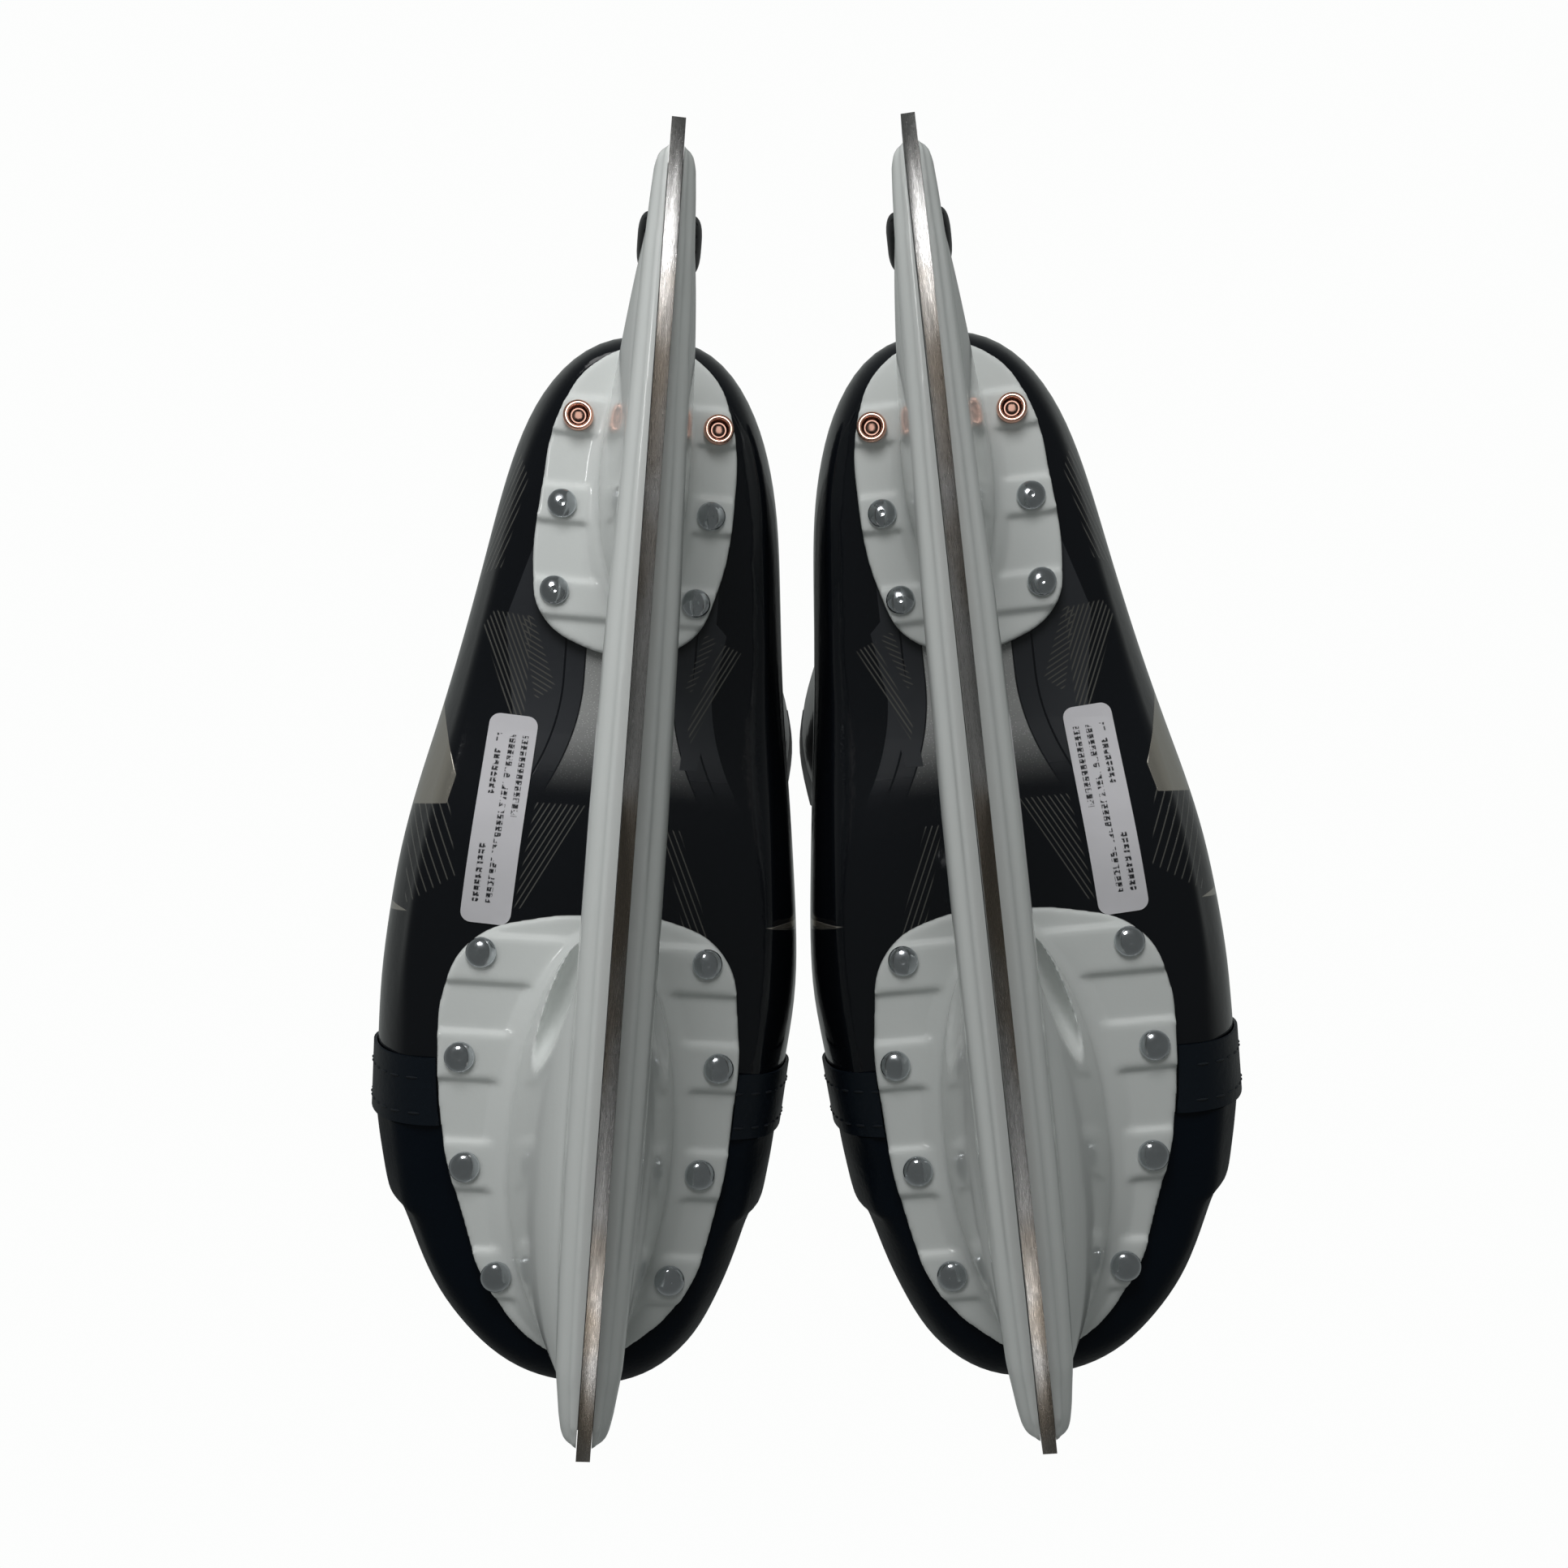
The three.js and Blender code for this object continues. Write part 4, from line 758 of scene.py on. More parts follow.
    def line_fans(self, nodes: Nodes, place: bpy.types.NodeSocket) -> bpy.types.NodeSocket:
        """Returns 1 on the clusters of fine parallel lines: outline, direction, pitch and width."""
        fans = [
            ([(10.6, -5.5), (22.5, -5.5), (25.5, -31), (23.5, -31)], 118.0, 1.25, 0.3),
            ([(27.5, 16), (31, 15), (39.5, 38), (37, 42), (27.5, 41)], 66.0, 1.1, 0.36),
            ([(36, 53), (42, 52), (34, 84), (31, 76)], 112.0, 1.2, 0.3),
            ([(20.5, 24), (25, 20), (30, 40), (27.5, 42)], 28.0, 1.25, 0.3),
            ([(-9, -10), (-13, -10), (-22, -36), (-16, -36)], 66.0, 1.4, 0.3),
            ([(-14.5, 12), (-13.5, 16), (-21, 38), (-26, 36)], 118.0, 1.1, 0.36),
            ([(-12.5, 26), (-14, 25), (-19.5, 39), (-16.5, 40)], 150.0, 1.2, 0.3),
            ([(40, -24), (52, -32), (55, 0), (46, 8)], 66.0, 1.9, 0.3),
        ]
        return nodes.strongest([
            nodes.maths(
                "MULTIPLY", nodes.inside(place, outline, 0.3), nodes.stripes(place, degrees, pitch, width))
            for outline, degrees, pitch, width in fans
        ])

    def silver_marks(self, nodes: Nodes, place: bpy.types.NodeSocket) -> bpy.types.NodeSocket:
        """Returns 1 on the plain silver wedge and the two thin spikes."""
        outlines = [
            [(42.5, 0), (44, -7), (62, -9), (50, 20)],
            [(51.5, -33.6), (62, -35.2), (62, -31.2)],
            [(-36, -32.2), (-50, -30.2), (-50, -34.2)],
        ]
        return nodes.strongest([nodes.inside(place, outline) for outline in outlines])


@dataclass(frozen=True)
class SizeLabel:
    """A silvery paper label with plain bars where a label has print."""

    name: str
    paper: Colour = (0.70, 0.69, 0.72)
    ink: Colour = (0.015, 0.015, 0.018)
    row_width: float = 1.5
    rows: tuple[tuple[float, float, float], ...] = (  # place across the label, start and end along it
        (2.6, 5.0, 25.0), (5.7, 5.0, 46.0), (8.9, 5.0, 20.0), (8.9, 32.0, 46.0),
    )

    def material(self) -> bpy.types.Material:
        """Returns the finish as a material, which reads the label's own UV map."""
        nodes = Nodes(self.name)
        uv = nodes.node("ShaderNodeUVMap", uv_map="label").outputs["UV"]
        objects = nodes.objects()
        gaps = nodes.ramp(nodes.noise(nodes.scaled(uv, (0.3, 0.45, 1.0)), 1.0, 0.0), 0.36, 0.4)
        holes = nodes.ramp(nodes.noise(uv, 1.6, 0.0), 0.46, 0.54)
        strokes = nodes.maths("MULTIPLY", nodes.stripes(uv, 0.0, 1.45, 1.05), gaps)
        gapped = nodes.maths("MAXIMUM", nodes.stripes(uv, 90.0, 0.75, 0.4), holes)
        strokes = nodes.maths("MULTIPLY", strokes, gapped)
        rows = []
        half = self.row_width / 2
        for u, v0, v1 in self.rows:
            row = nodes.inside(uv, [(u - half, v0), (u + half, v0), (u + half, v1), (u - half, v1)], 0.08)
            rows.append(nodes.maths("MULTIPLY", row, strokes))
        bars = nodes.strongest(rows)
        cloud = nodes.noise(objects, 90.0, 4.0, 0.6)
        paper = nodes.mix(cloud, tuple(c * 0.88 for c in self.paper), self.paper)
        nodes.surface(
            Base_Color=nodes.mix(bars, paper, self.ink),
            Roughness=nodes.ramp(cloud, 0.3, 0.7, 0.28, 0.45),
            Normal=nodes.bump(nodes.noise(objects, 130.0, 3.0), 0.0004, 0.4),
        )
        return nodes.material


@dataclass(frozen=True)
class Finishes:
    """Every finish of the skates, made once."""

    holder: Plastic = Plastic(
        "white moulded plastic", (0.72, 0.745, 0.73), 0.2, variation=0.03, coat=0.3)
    toe_cap: Plastic = Plastic(
        "grained toe plastic", (0.003, 0.006, 0.011), 0.5, 700.0, 0.00012, 0.25, specular=0.18)
    strip: Plastic = Plastic(
        "coated strip", (0.006, 0.010, 0.016), 0.46, 620.0, 0.00014, 0.3, specular=0.3)
    facing: Plastic = Plastic("facing plastic", (0.012, 0.012, 0.014), 0.42, 700.0, 0.00006, 0.2)
    guard: Plastic = Plastic("guard plastic", (0.012, 0.012, 0.014), 0.36, 700.0, 0.00004, 0.2)
    lock: Plastic = Plastic("lock plastic", (0.012, 0.013, 0.014), 0.34, 800.0, 0.00003, 0.2)
    thread: Plastic = Plastic("stitching thread", (0.014, 0.018, 0.024), 0.6, 1500.0, 0.0001, 0.3)
    eyelet: Metal = Metal("eyelet metal", (0.22, 0.22, 0.23), 0.25)
    zinc: Metal = Metal("bright zinc", (0.66, 0.69, 0.72), 0.1, 0.12)
    copper: Metal = Metal("copper", (0.93, 0.54, 0.42), 0.16, 0.12)
    steel: BrushedSteel = BrushedSteel(
        "brushed runner steel", (0.36, 0.355, 0.35), (0.20, 0.168, 0.135), 0.3)
    felt: Cloth = Cloth("tongue felt", (0.045, 0.047, 0.052), (0.10, 0.10, 0.11))
    lining: Cloth = Cloth("brushed lining", (0.016, 0.017, 0.02), (0.04, 0.042, 0.048))
    foam: Cloth = Cloth("insole weave", (0.05, 0.055, 0.06), (0.12, 0.125, 0.13), weave=1.1)
    shell: PrintedShell = PrintedShell("printed shell")
    label: SizeLabel = SizeLabel("size label")


class Paintshop:
    """Makes each finish's material the first time that it is asked for."""

    def __init__(self, finishes: Finishes) -> None:
        """Keeps the finishes.

        Args:
            finishes: every finish of the object.
        """
        self.finishes = finishes
        self.made: dict[str, bpy.types.Material] = {}

    def material(self, name: str) -> bpy.types.Material:
        """Returns one finish's material by the finish's field name."""
        if name not in self.made:
            self.made[name] = getattr(self.finishes, name).material()
        return self.made[name]


# ------------------------------------------------------------------ setting pieces in place
@dataclass(frozen=True)
class Seat:
    """What a left piece belongs to: body, material slot, finish and the CAD nodes it stands for."""

    body: str
    slot: str
    finish: str
    nodes: tuple[str, ...] = ()


class Fitter:
    """Sets finished left pieces in their standing place and mirrors them for the right skate."""

    def __init__(self, place: SkateFrame, paint: Paintshop) -> None:
        """Keeps what every piece needs.

        Args:
            place: the skate's frame.
            paint: the finishes.
        """
        self.place = place
        self.paint = paint

    def remember_place(self, piece: bpy.types.Object) -> None:
        """Stores where each point lies in the skate's own frame, for the finishes to read."""
        points = points_of(piece.data) / MM
        attribute = piece.data.attributes.new(PLACE, "FLOAT_VECTOR", "POINT")
        attribute.data.foreach_set("vector", points.astype(np.float32).ravel())

    def fit(self, piece: bpy.types.Object, name: str, seat: Seat) -> None:
        """Fits a left piece and its mirror.

        Args:
            piece: the finished piece, in the left skate's own frame, in metres.
            name: its name without a side.
            seat: what it belongs to.
        """
        self.remember_place(piece)
        pair = {Side.LEFT: piece, Side.RIGHT: copied(piece, f"right_{name}")}
        piece.name = f"left_{name}"
        for side, half in pair.items():
            half.data.transform(self.place.matrix(side))
            if side is Side.RIGHT:
                half.data.flip_normals()
            half.data.materials.clear()
            half.data.materials.append(self.paint.material(seat.finish))
            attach(half, f"{side.value}_{seat.body}")
            if seat.nodes:
                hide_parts(*[f"{side.value}_{node}" for node in seat.nodes])
        log.info("%s: %d faces a side", name, len(piece.data.polygons))


# ------------------------------------------------------------------ holder
@dataclass(frozen=True)
class Tower:
    """How a tower grows from the rail to its plate.

    Each triple is a value at its foot, its change up to the top and the power that eases it.
    A flute is the middle, the half sizes and the turn of a hollow beside the rail.
    """

    height: float
    middle: tuple[float, float, float]
    toe_end: tuple[float, float, float]
    heel_end: tuple[float, float, float]
    half_width: tuple[float, float, float]
    collar: list[tuple[float, float, float, float, float]]
    flutes: list[tuple[Point, Point, float]]


@dataclass(frozen=True)
class Plate:
    """A riveted plate: its outline in plan, its raised bands and the height of its upper face."""

    outline: Outline
    bands: tuple[float, ...]
    band_half: float
    sole: float


FRONT_TOWER = Tower(
    38.6, (0, 3.5, 0.7), (-137.7, 3.7, 1), (-24, -14, 1.4), (7.2, 13.3, 0.62),
    [(3.6, -85, 56.6, 19.6, 50), (3.6, -85, 60.4, 27.2, 51)],
    [((10.0, -44, 40), (3.7, 23, 13.5), -19), ((-9.4, -45, 40), (3.3, 23, 13), 13)],
)
HEEL_TOWER = Tower(
    57.7, (0, 1.9, 1), (66, -23, 0.8), (136, -28, 1.25), (6.2, 5.4, 0.75),
    [(2, 74, 75.8, 11.4, 33), (2, 74, 79.6, 16.2, 35)],
    [((7.6, 58, 42), (2.2, 12, 15), 16), ((-7.2, 58, 42), (2.0, 12, 15), -14)],
)
FRONT_PLATE = Plate(
    [
        (0, -31.4), (20, -33), (35, -39.2), (40.9, -52), (41, -66), (38.7, -85), (33, -103.5),
        (25.5, -121), (12, -135.6), (0, -139), (-12, -133), (-22, -121.5), (-28, -101.5),
        (-30.6, -78), (-30.3, -56), (-25.5, -39.2), (-12, -31.9),
    ],
    (-43.2, -66.4, -92.5, -118.2), 5.6, 61.7,
)
HEEL_PLATE = Plate(
    [
        (1, 33), (14, 34.4), (25, 41.6), (28, 53), (27.3, 72), (24.6, 91.5), (16, 106.3),
        (0, 111.8), (-13, 106.5), (-20, 92), (-21.5, 72), (-18.5, 50), (-12.5, 37.8),
    ],
    (46.0, 69.8, 92.2), 4.4, 80.7,
)


@dataclass
class Holder:
    """The moulded holder: a rail for the runner, two towers and two riveted plates."""

    plate: float = 3.7          # thickness at a raised band
    pocket: float = 1.3         # how much thinner the plate is between bands
    slot_half: float = 1.66
    slot_top: float = 25.0
    web: float = 3.15           # half of the wall between the dial's two pockets
    pocket_radius: float = 7.1
    shaft_hole: float = 2.7
    tower_foot: float = 22.0
    tower_rings: int = 18
    tower_sides: int = 96
    voxel: float = 0.00075
    relax: int = 4

    def build(self, fitter: Fitter) -> None:
        """Models the holder and fits it.

        Args:
            fitter: sets it in place.
        """
        bodies = [self.rail(), *self.tower(FRONT_TOWER), *self.tower(HEEL_TOWER)]
        bodies += self.plate_bodies(FRONT_PLATE) + self.plate_bodies(HEEL_PLATE)
        whole = moulded(joined(bodies, "holder"), self.voxel, self.relax)
        for tool in self.openings():
            modified(whole, "BOOLEAN", operation="DIFFERENCE", solver="MANIFOLD", object=tool)
            removed([tool])
        smooth(whole, 50)
        fitter.fit(whole, "holder_moulding", Seat("skate", "white_plastic", "holder", ("holder",)))

    def rail(self) -> bpy.types.Object:
        """Returns the rail: one section, drawn along the runner and narrowed to its ends."""
        half_section = [
            (0, 12), (4.0, 12), (4.6, 12.2), (4.9, 13.8), (5.6, 14.3), (7.1, 15.2), (8.1, 16.9),
            (8.7, 19.6), (8.6, 23), (7.4, 26.6), (4.6, 28.4), (0, 29),
        ]
        stations = [
            (-140.6, 0.38, 3.4), (-140, 0.5, 2.2), (-138.6, 0.6, 1.2), (-135, 0.68, 0.5),
            (-125, 0.83, 0), (-105, 0.93, 0), (-84, 0.98, 0), (-40, 1.0, 0), (-6, 0.99, 0),
            (40, 0.91, 0), (80, 0.77, 0), (115, 0.65, 0), (128, 0.57, 0), (134, 0.52, 0.2),
            (136, 0.46, 0.8), (136.8, 0.38, 1.6), (137.1, 0.28, 2.6),
        ]
        return section_loft("rail", half_section, stations, 29)

    def tower(self, tower: Tower) -> list[bpy.types.Object]:
        """Returns a tower, hollowed on each side towards the arch, and its collar under the plate."""
        rings = []
        for i in range(self.tower_rings + 1):
            share = i / self.tower_rings
            x, low, high, wide = (
                foot + change * share ** power
                for foot, change, power in (tower.middle, tower.toe_end, tower.heel_end, tower.half_width)
            )
            z = self.tower_foot + tower.height * share
            rings.append((x, (low + high) / 2, z, wide, (high - low) / 2))
        body = ellipse_loft("tower", rings, self.tower_sides)
        collar = ellipse_loft("collar", tower.collar, self.tower_sides)
        cut(body, [self.flute(*flute) for flute in tower.flutes])
        return [body, collar]

    def flute(self, centre: Point, half: Point, turn: float) -> bpy.types.Object:
        """Makes the tool that hollows a tower beside the rail.

        Args:
            centre: its middle, in millimetres.
            half: its half sizes, in millimetres.
            turn: its turn about the upright, in degrees.
        """
        deselect()
        bpy.ops.mesh.primitive_uv_sphere_add(
            segments=48, ring_count=32, radius=MM, location=[c * MM for c in centre])
        tool = added("flute")
        tool.scale = half
        tool.rotation_euler = (0, 0, math.radians(-turn))
        return settle(tool)

    def plate_bodies(self, plate: Plate) -> list[bpy.types.Object]:
        """Returns a plate and its raised bands, cut to the plate's outline."""
        low = plate.sole - self.plate
        bodies = [slab("plate", plate.outline, low + self.pocket, plate.sole)]
        for y in plate.bands:
            band = slab("band", plate.outline, low, plate.sole - 0.2)
            room = block(
                "band room", (-60, y - plate.band_half, low - 2), (60, y + plate.band_half, plate.sole + 2),
                0.9, 2,
            )
            modified(band, "BOOLEAN", operation="INTERSECT", solver="MANIFOLD", object=room)
            removed([room])
            bodies.append(band)
        return bodies

    def openings(self) -> list[bpy.types.Object]:
        """Returns what is cut out at the end: the runner's slot, the dial's pockets and shaft hole."""
        return [
            block("runner slot", (-self.slot_half, -150, 0), (self.slot_half, 150, self.slot_top)),
            round_bar("outer pocket", self.web, 15, DIAL_Y, DIAL_Z, self.pocket_radius),
            round_bar("inner pocket", -15, -self.web, DIAL_Y, DIAL_Z, self.pocket_radius),
            round_bar("shaft hole", -10, 10, DIAL_Y, DIAL_Z, self.shaft_hole),
        ]


def slab(name: str, outline: Outline, low: float, high: float) -> bpy.types.Object:
    """Makes a slab with a smooth outline through points in plan, in millimetres."""
    curve = bpy.data.curves.new(name, "CURVE")
    curve.dimensions = "2D"
    curve.fill_mode = "BOTH"
    curve.extrude = (high - low) / 2 * MM
    curve.resolution_u = 8
    spline = curve.splines.new("BEZIER")
    spline.bezier_points.add(len(outline) - 1)
    for node, (x, y) in zip(spline.bezier_points, outline):
        node.co = (x * MM, y * MM, 0)
        node.handle_left_type = node.handle_right_type = "AUTO"
    spline.use_cyclic_u = True
    piece = bpy.data.objects.new(name, curve)
    bpy.context.scene.collection.objects.link(piece)
    piece.location = (0, 0, (low + high) / 2 * MM)
    take(piece)
    bpy.ops.object.convert(target="MESH")
    edit(settle(piece))
    bpy.ops.mesh.remove_doubles(threshold=0.00001)
    bpy.ops.mesh.normals_make_consistent(inside=False)
    return leave()


def section_loft(name: str, half: Outline, stations: list[tuple[float, float, float]],
                 top: float) -> bpy.types.Object:
    """Draws one mirrored section along the skate by extruding it from station to station.

    Args:
        name: the new object's name.
        half: x and z of the section's outer half, from its lowest to its highest point.
        stations: y, share of the width, and how far the underside is lifted, in millimetres.
        top: the height that the section keeps as its underside is lifted.

    Returns:
        The closed loft, in metres.
    """
    ring = half + [(-x, z) for x, z in reversed(half[1:-1])]
    deselect()
    bpy.ops.mesh.primitive_circle_add(vertices=len(ring), radius=MM, fill_type="NGON")
    piece = added(name)
    y, share, lift = stations[0]
    low = half[0][1]
    for vertex, (x, z) in zip(piece.data.vertices, ring):
        vertex.co = (x * share * MM, y * MM, (top - (top - z) * (top - low - lift) / (top - low)) * MM)
    edit(piece)
    for (y0, share0, lift0), (y1, share1, lift1) in zip(stations, stations[1:]):
        bpy.ops.mesh.extrude_region_move(TRANSFORM_OT_translate={"value": (0, (y1 - y0) * MM, 0)})
        tall = (top - low - lift1) / (top - low - lift0)
        bpy.ops.transform.resize(value=(share1 / share0, 1, tall), center_override=(0, y1 * MM, top * MM))
    bpy.ops.mesh.select_all(action="SELECT")
    bpy.ops.mesh.normals_make_consistent(inside=False)
    return leave()


# ------------------------------------------------------------------ runner, lock and rivets
@dataclass
class Runner:
    """The steel runner, with the shallow hollow that is ground along its edge."""

    hollow: float = 0.16
    edge_top: float = 12.1
    tip: float = 141.0
    bevel: float = 0.12

    def build(self, fitter: Fitter) -> None:
        """Models the runner and fits it.

        Args:
            fitter: sets it in place.
        """
        piece = of_node(fitter.place, "runner", "runner", quads=False)
        modified(
            piece, "BEVEL", width=self.bevel * MM, segments=2, limit_method="ANGLE",
            angle_limit=math.radians(60),
        )
        edit(piece)
        bpy.ops.mesh.bisect(plane_co=(0, 0, 0), plane_no=(1, 0, 0))
        leave()
        points = points_of(piece.data)
        middle = (np.abs(points[:, 0]) < 1e-5) & (points[:, 2] < self.edge_top * MM)
        middle &= np.abs(points[:, 1]) < self.tip * MM
        points[middle, 2] += self.hollow * MM
        set_points(piece.data, points)
        smooth(piece, 30)
        fitter.fit(piece, "runner_steel", Seat("skate", "runner_steel", "steel", ("runner",)))


@dataclass
class LockDial:
    """The two low domed knobs on their shaft, across the heel tower."""

    radius: float = 6.45
    web: float = 3.5
    rim: float = 4.9
    reach: float = 7.2
    shaft: float = 2.35
    ridges: int = 12
    groove: float = 0.55
    dome_rings: int = 8
    dome_power: float = 0.6    # below 1 the dome is fuller than a circle

    def build(self, fitter: Fitter) -> None:
        """Models the dial and fits it.

        Args:
            fitter: sets it in place.
        """
        rings = [(0, 0, z, self.radius, self.radius) for z in (self.web, self.rim)]
        for i in range(1, self.dome_rings):
            angle = math.pi / 2 * i / self.dome_rings
            wide = self.radius * math.cos(angle) ** self.dome_power
            rings.append((0, 0, self.rim + (self.reach - self.rim) * math.sin(angle), wide, wide))
        knob = ellipse_loft("knob", rings, 64)
        grooves = []
        for i in range(self.ridges):
            turn = 2 * math.pi * i / self.ridges
            place = (self.radius * MM * math.cos(turn), self.radius * MM * math.sin(turn), self.rim * MM)
            deselect()
            bpy.ops.mesh.primitive_cylinder_add(
                vertices=12, radius=self.groove * MM, depth=8 * MM, location=place)
            grooves.append(settle(added("groove")))
        cut(knob, grooves)
        other = copied(knob, "other knob")
        for half, turn in ((knob, math.pi / 2), (other, -math.pi / 2)):
            half.rotation_euler = (0, turn, 0)
            half.location = (0, DIAL_Y * MM, DIAL_Z * MM)
        shaft = round_bar("shaft", -self.rim, self.rim, DIAL_Y, DIAL_Z, self.shaft)
        piece = smooth(joined([settle(knob), settle(other), shaft], "lock dial"), 40)
        fitter.fit(piece, "lock_knobs", Seat("lock_dial", "lock_plastic", "lock", ("lock_dial",)))


@dataclass
class Rivets:
    """Domed zinc rivets with a dimple, and two hollow copper ones at the heel whose bores carry painted
    shade.
    """

    head: float = 3.65
    dome: float = 1.85
    dimple: float = 0.75
    shank: float = 1.6
    clinch: float = 2.5
    clinch_height: float = 0.9
    tube_head: float = 3.85
    tube_bore: float = 2.35
    # how far into the bore, in millimetres, the painted shade starts
    bore_shade_depth: float = 1.2
    sides: int = 48
    steps: int = 12            # points along a rounded profile

    def build(self, fitter: Fitter) -> None:
        """Models a rivet of its kind in each place and fits it.

        Args:
            fitter: sets them in place.
        """
        rows = [("front", row) for row in (1, 2, 3, 4)] + [("heel", row) for row in (1, 2, 3)]
        for plate, row in rows:
            for edge in ("outer", "inner"):
                node = f"{plate}_rivet_{edge}_{row}"
                low, high = fitter.place.local_box(node)
                centre = (low + high) / 2
                hollow = plate == "heel" and row == 3
                profile = self.tube_profile if hollow else self.dome_profile
                rings = [(centre[0], centre[1], low[2] + z, r, r) for r, z in profile(high[2] - low[2])]
                piece = smooth(ellipse_loft(node, rings, self.sides), 50)
                kind, slot, finish = ("dome", "rivet_zinc", "zinc")
                if hollow:
                    # painted shade: the inner part of the copper rivet's bore is marked to be darkened
                    self.paint_bore_shade(piece, centre, low[2])
                    kind, slot, finish = ("tube", "copper", "copper")
                fitter.fit(piece, f"{plate}_{kind}_rivet_{edge}_{row}", Seat("skate", slot, finish, (node,)))

    def paint_bore_shade(self, piece: bpy.types.Object, centre: np.ndarray, foot: float) -> None:
        """Marks with 1 the points far inside the bore, where the finish paints shade."""
        points = points_of(piece.data) / MM
        out = np.hypot(points[:, 0] - centre[0], points[:, 1] - centre[1])
        bore_shade = (out < self.tube_bore * 0.98) & (points[:, 2] > foot + self.bore_shade_depth)
        attribute = piece.data.attributes.new(BORE_SHADE, "FLOAT", "POINT")
        attribute.data.foreach_set("value", bore_shade.astype(np.float32))

    def dome_profile(self, height: float) -> list[tuple[float, float]]:
        """Returns radius and height along a domed rivet, from its tip to its clinched end."""
        profile = [(0.25, 0.16), (self.dimple * 0.7, 0.14), (self.dimple, 0.06)]
        start = math.asin(self.dimple * 1.25 / self.head)
        for i in range(self.steps + 1):
            angle = start + (math.pi / 2 - start) * i / self.steps
            profile.append((self.head * math.sin(angle), 0.02 + (self.dome - 0.3) * (1 - math.cos(angle))))
        return profile + self.body(self.head, height)

    def tube_profile(self, height: float) -> list[tuple[float, float]]:
        """Returns radius and height along a hollow rivet, from the bottom of its bore."""
        profile = [(0.4, 1.9), (1.9, 1.86), (self.tube_bore * 0.94, 1.5), (self.tube_bore, 0.95)]
        middle = (self.tube_bore + self.tube_head) / 2
        half = (self.tube_head - self.tube_bore) / 2
        for i in range(self.steps + 1):
            angle = math.pi * i / self.steps
            profile.append((middle - half * math.cos(angle), 0.95 - 0.95 * math.sin(angle)))
        return profile + self.body(self.tube_head, height)

    def body(self, head: float, height: float) -> list[tuple[float, float]]:
        """Returns the rest of a rivet: its rim, shank and clinched end."""
        clinch = height - self.clinch_height
        return [
            (head, self.dome - 0.1), (head - 0.1, self.dome), (self.shank, self.dome), (self.shank, clinch),
            (self.clinch, clinch), (self.clinch, height - 0.25), (self.clinch - 0.3, height), (0.4, height),
        ]


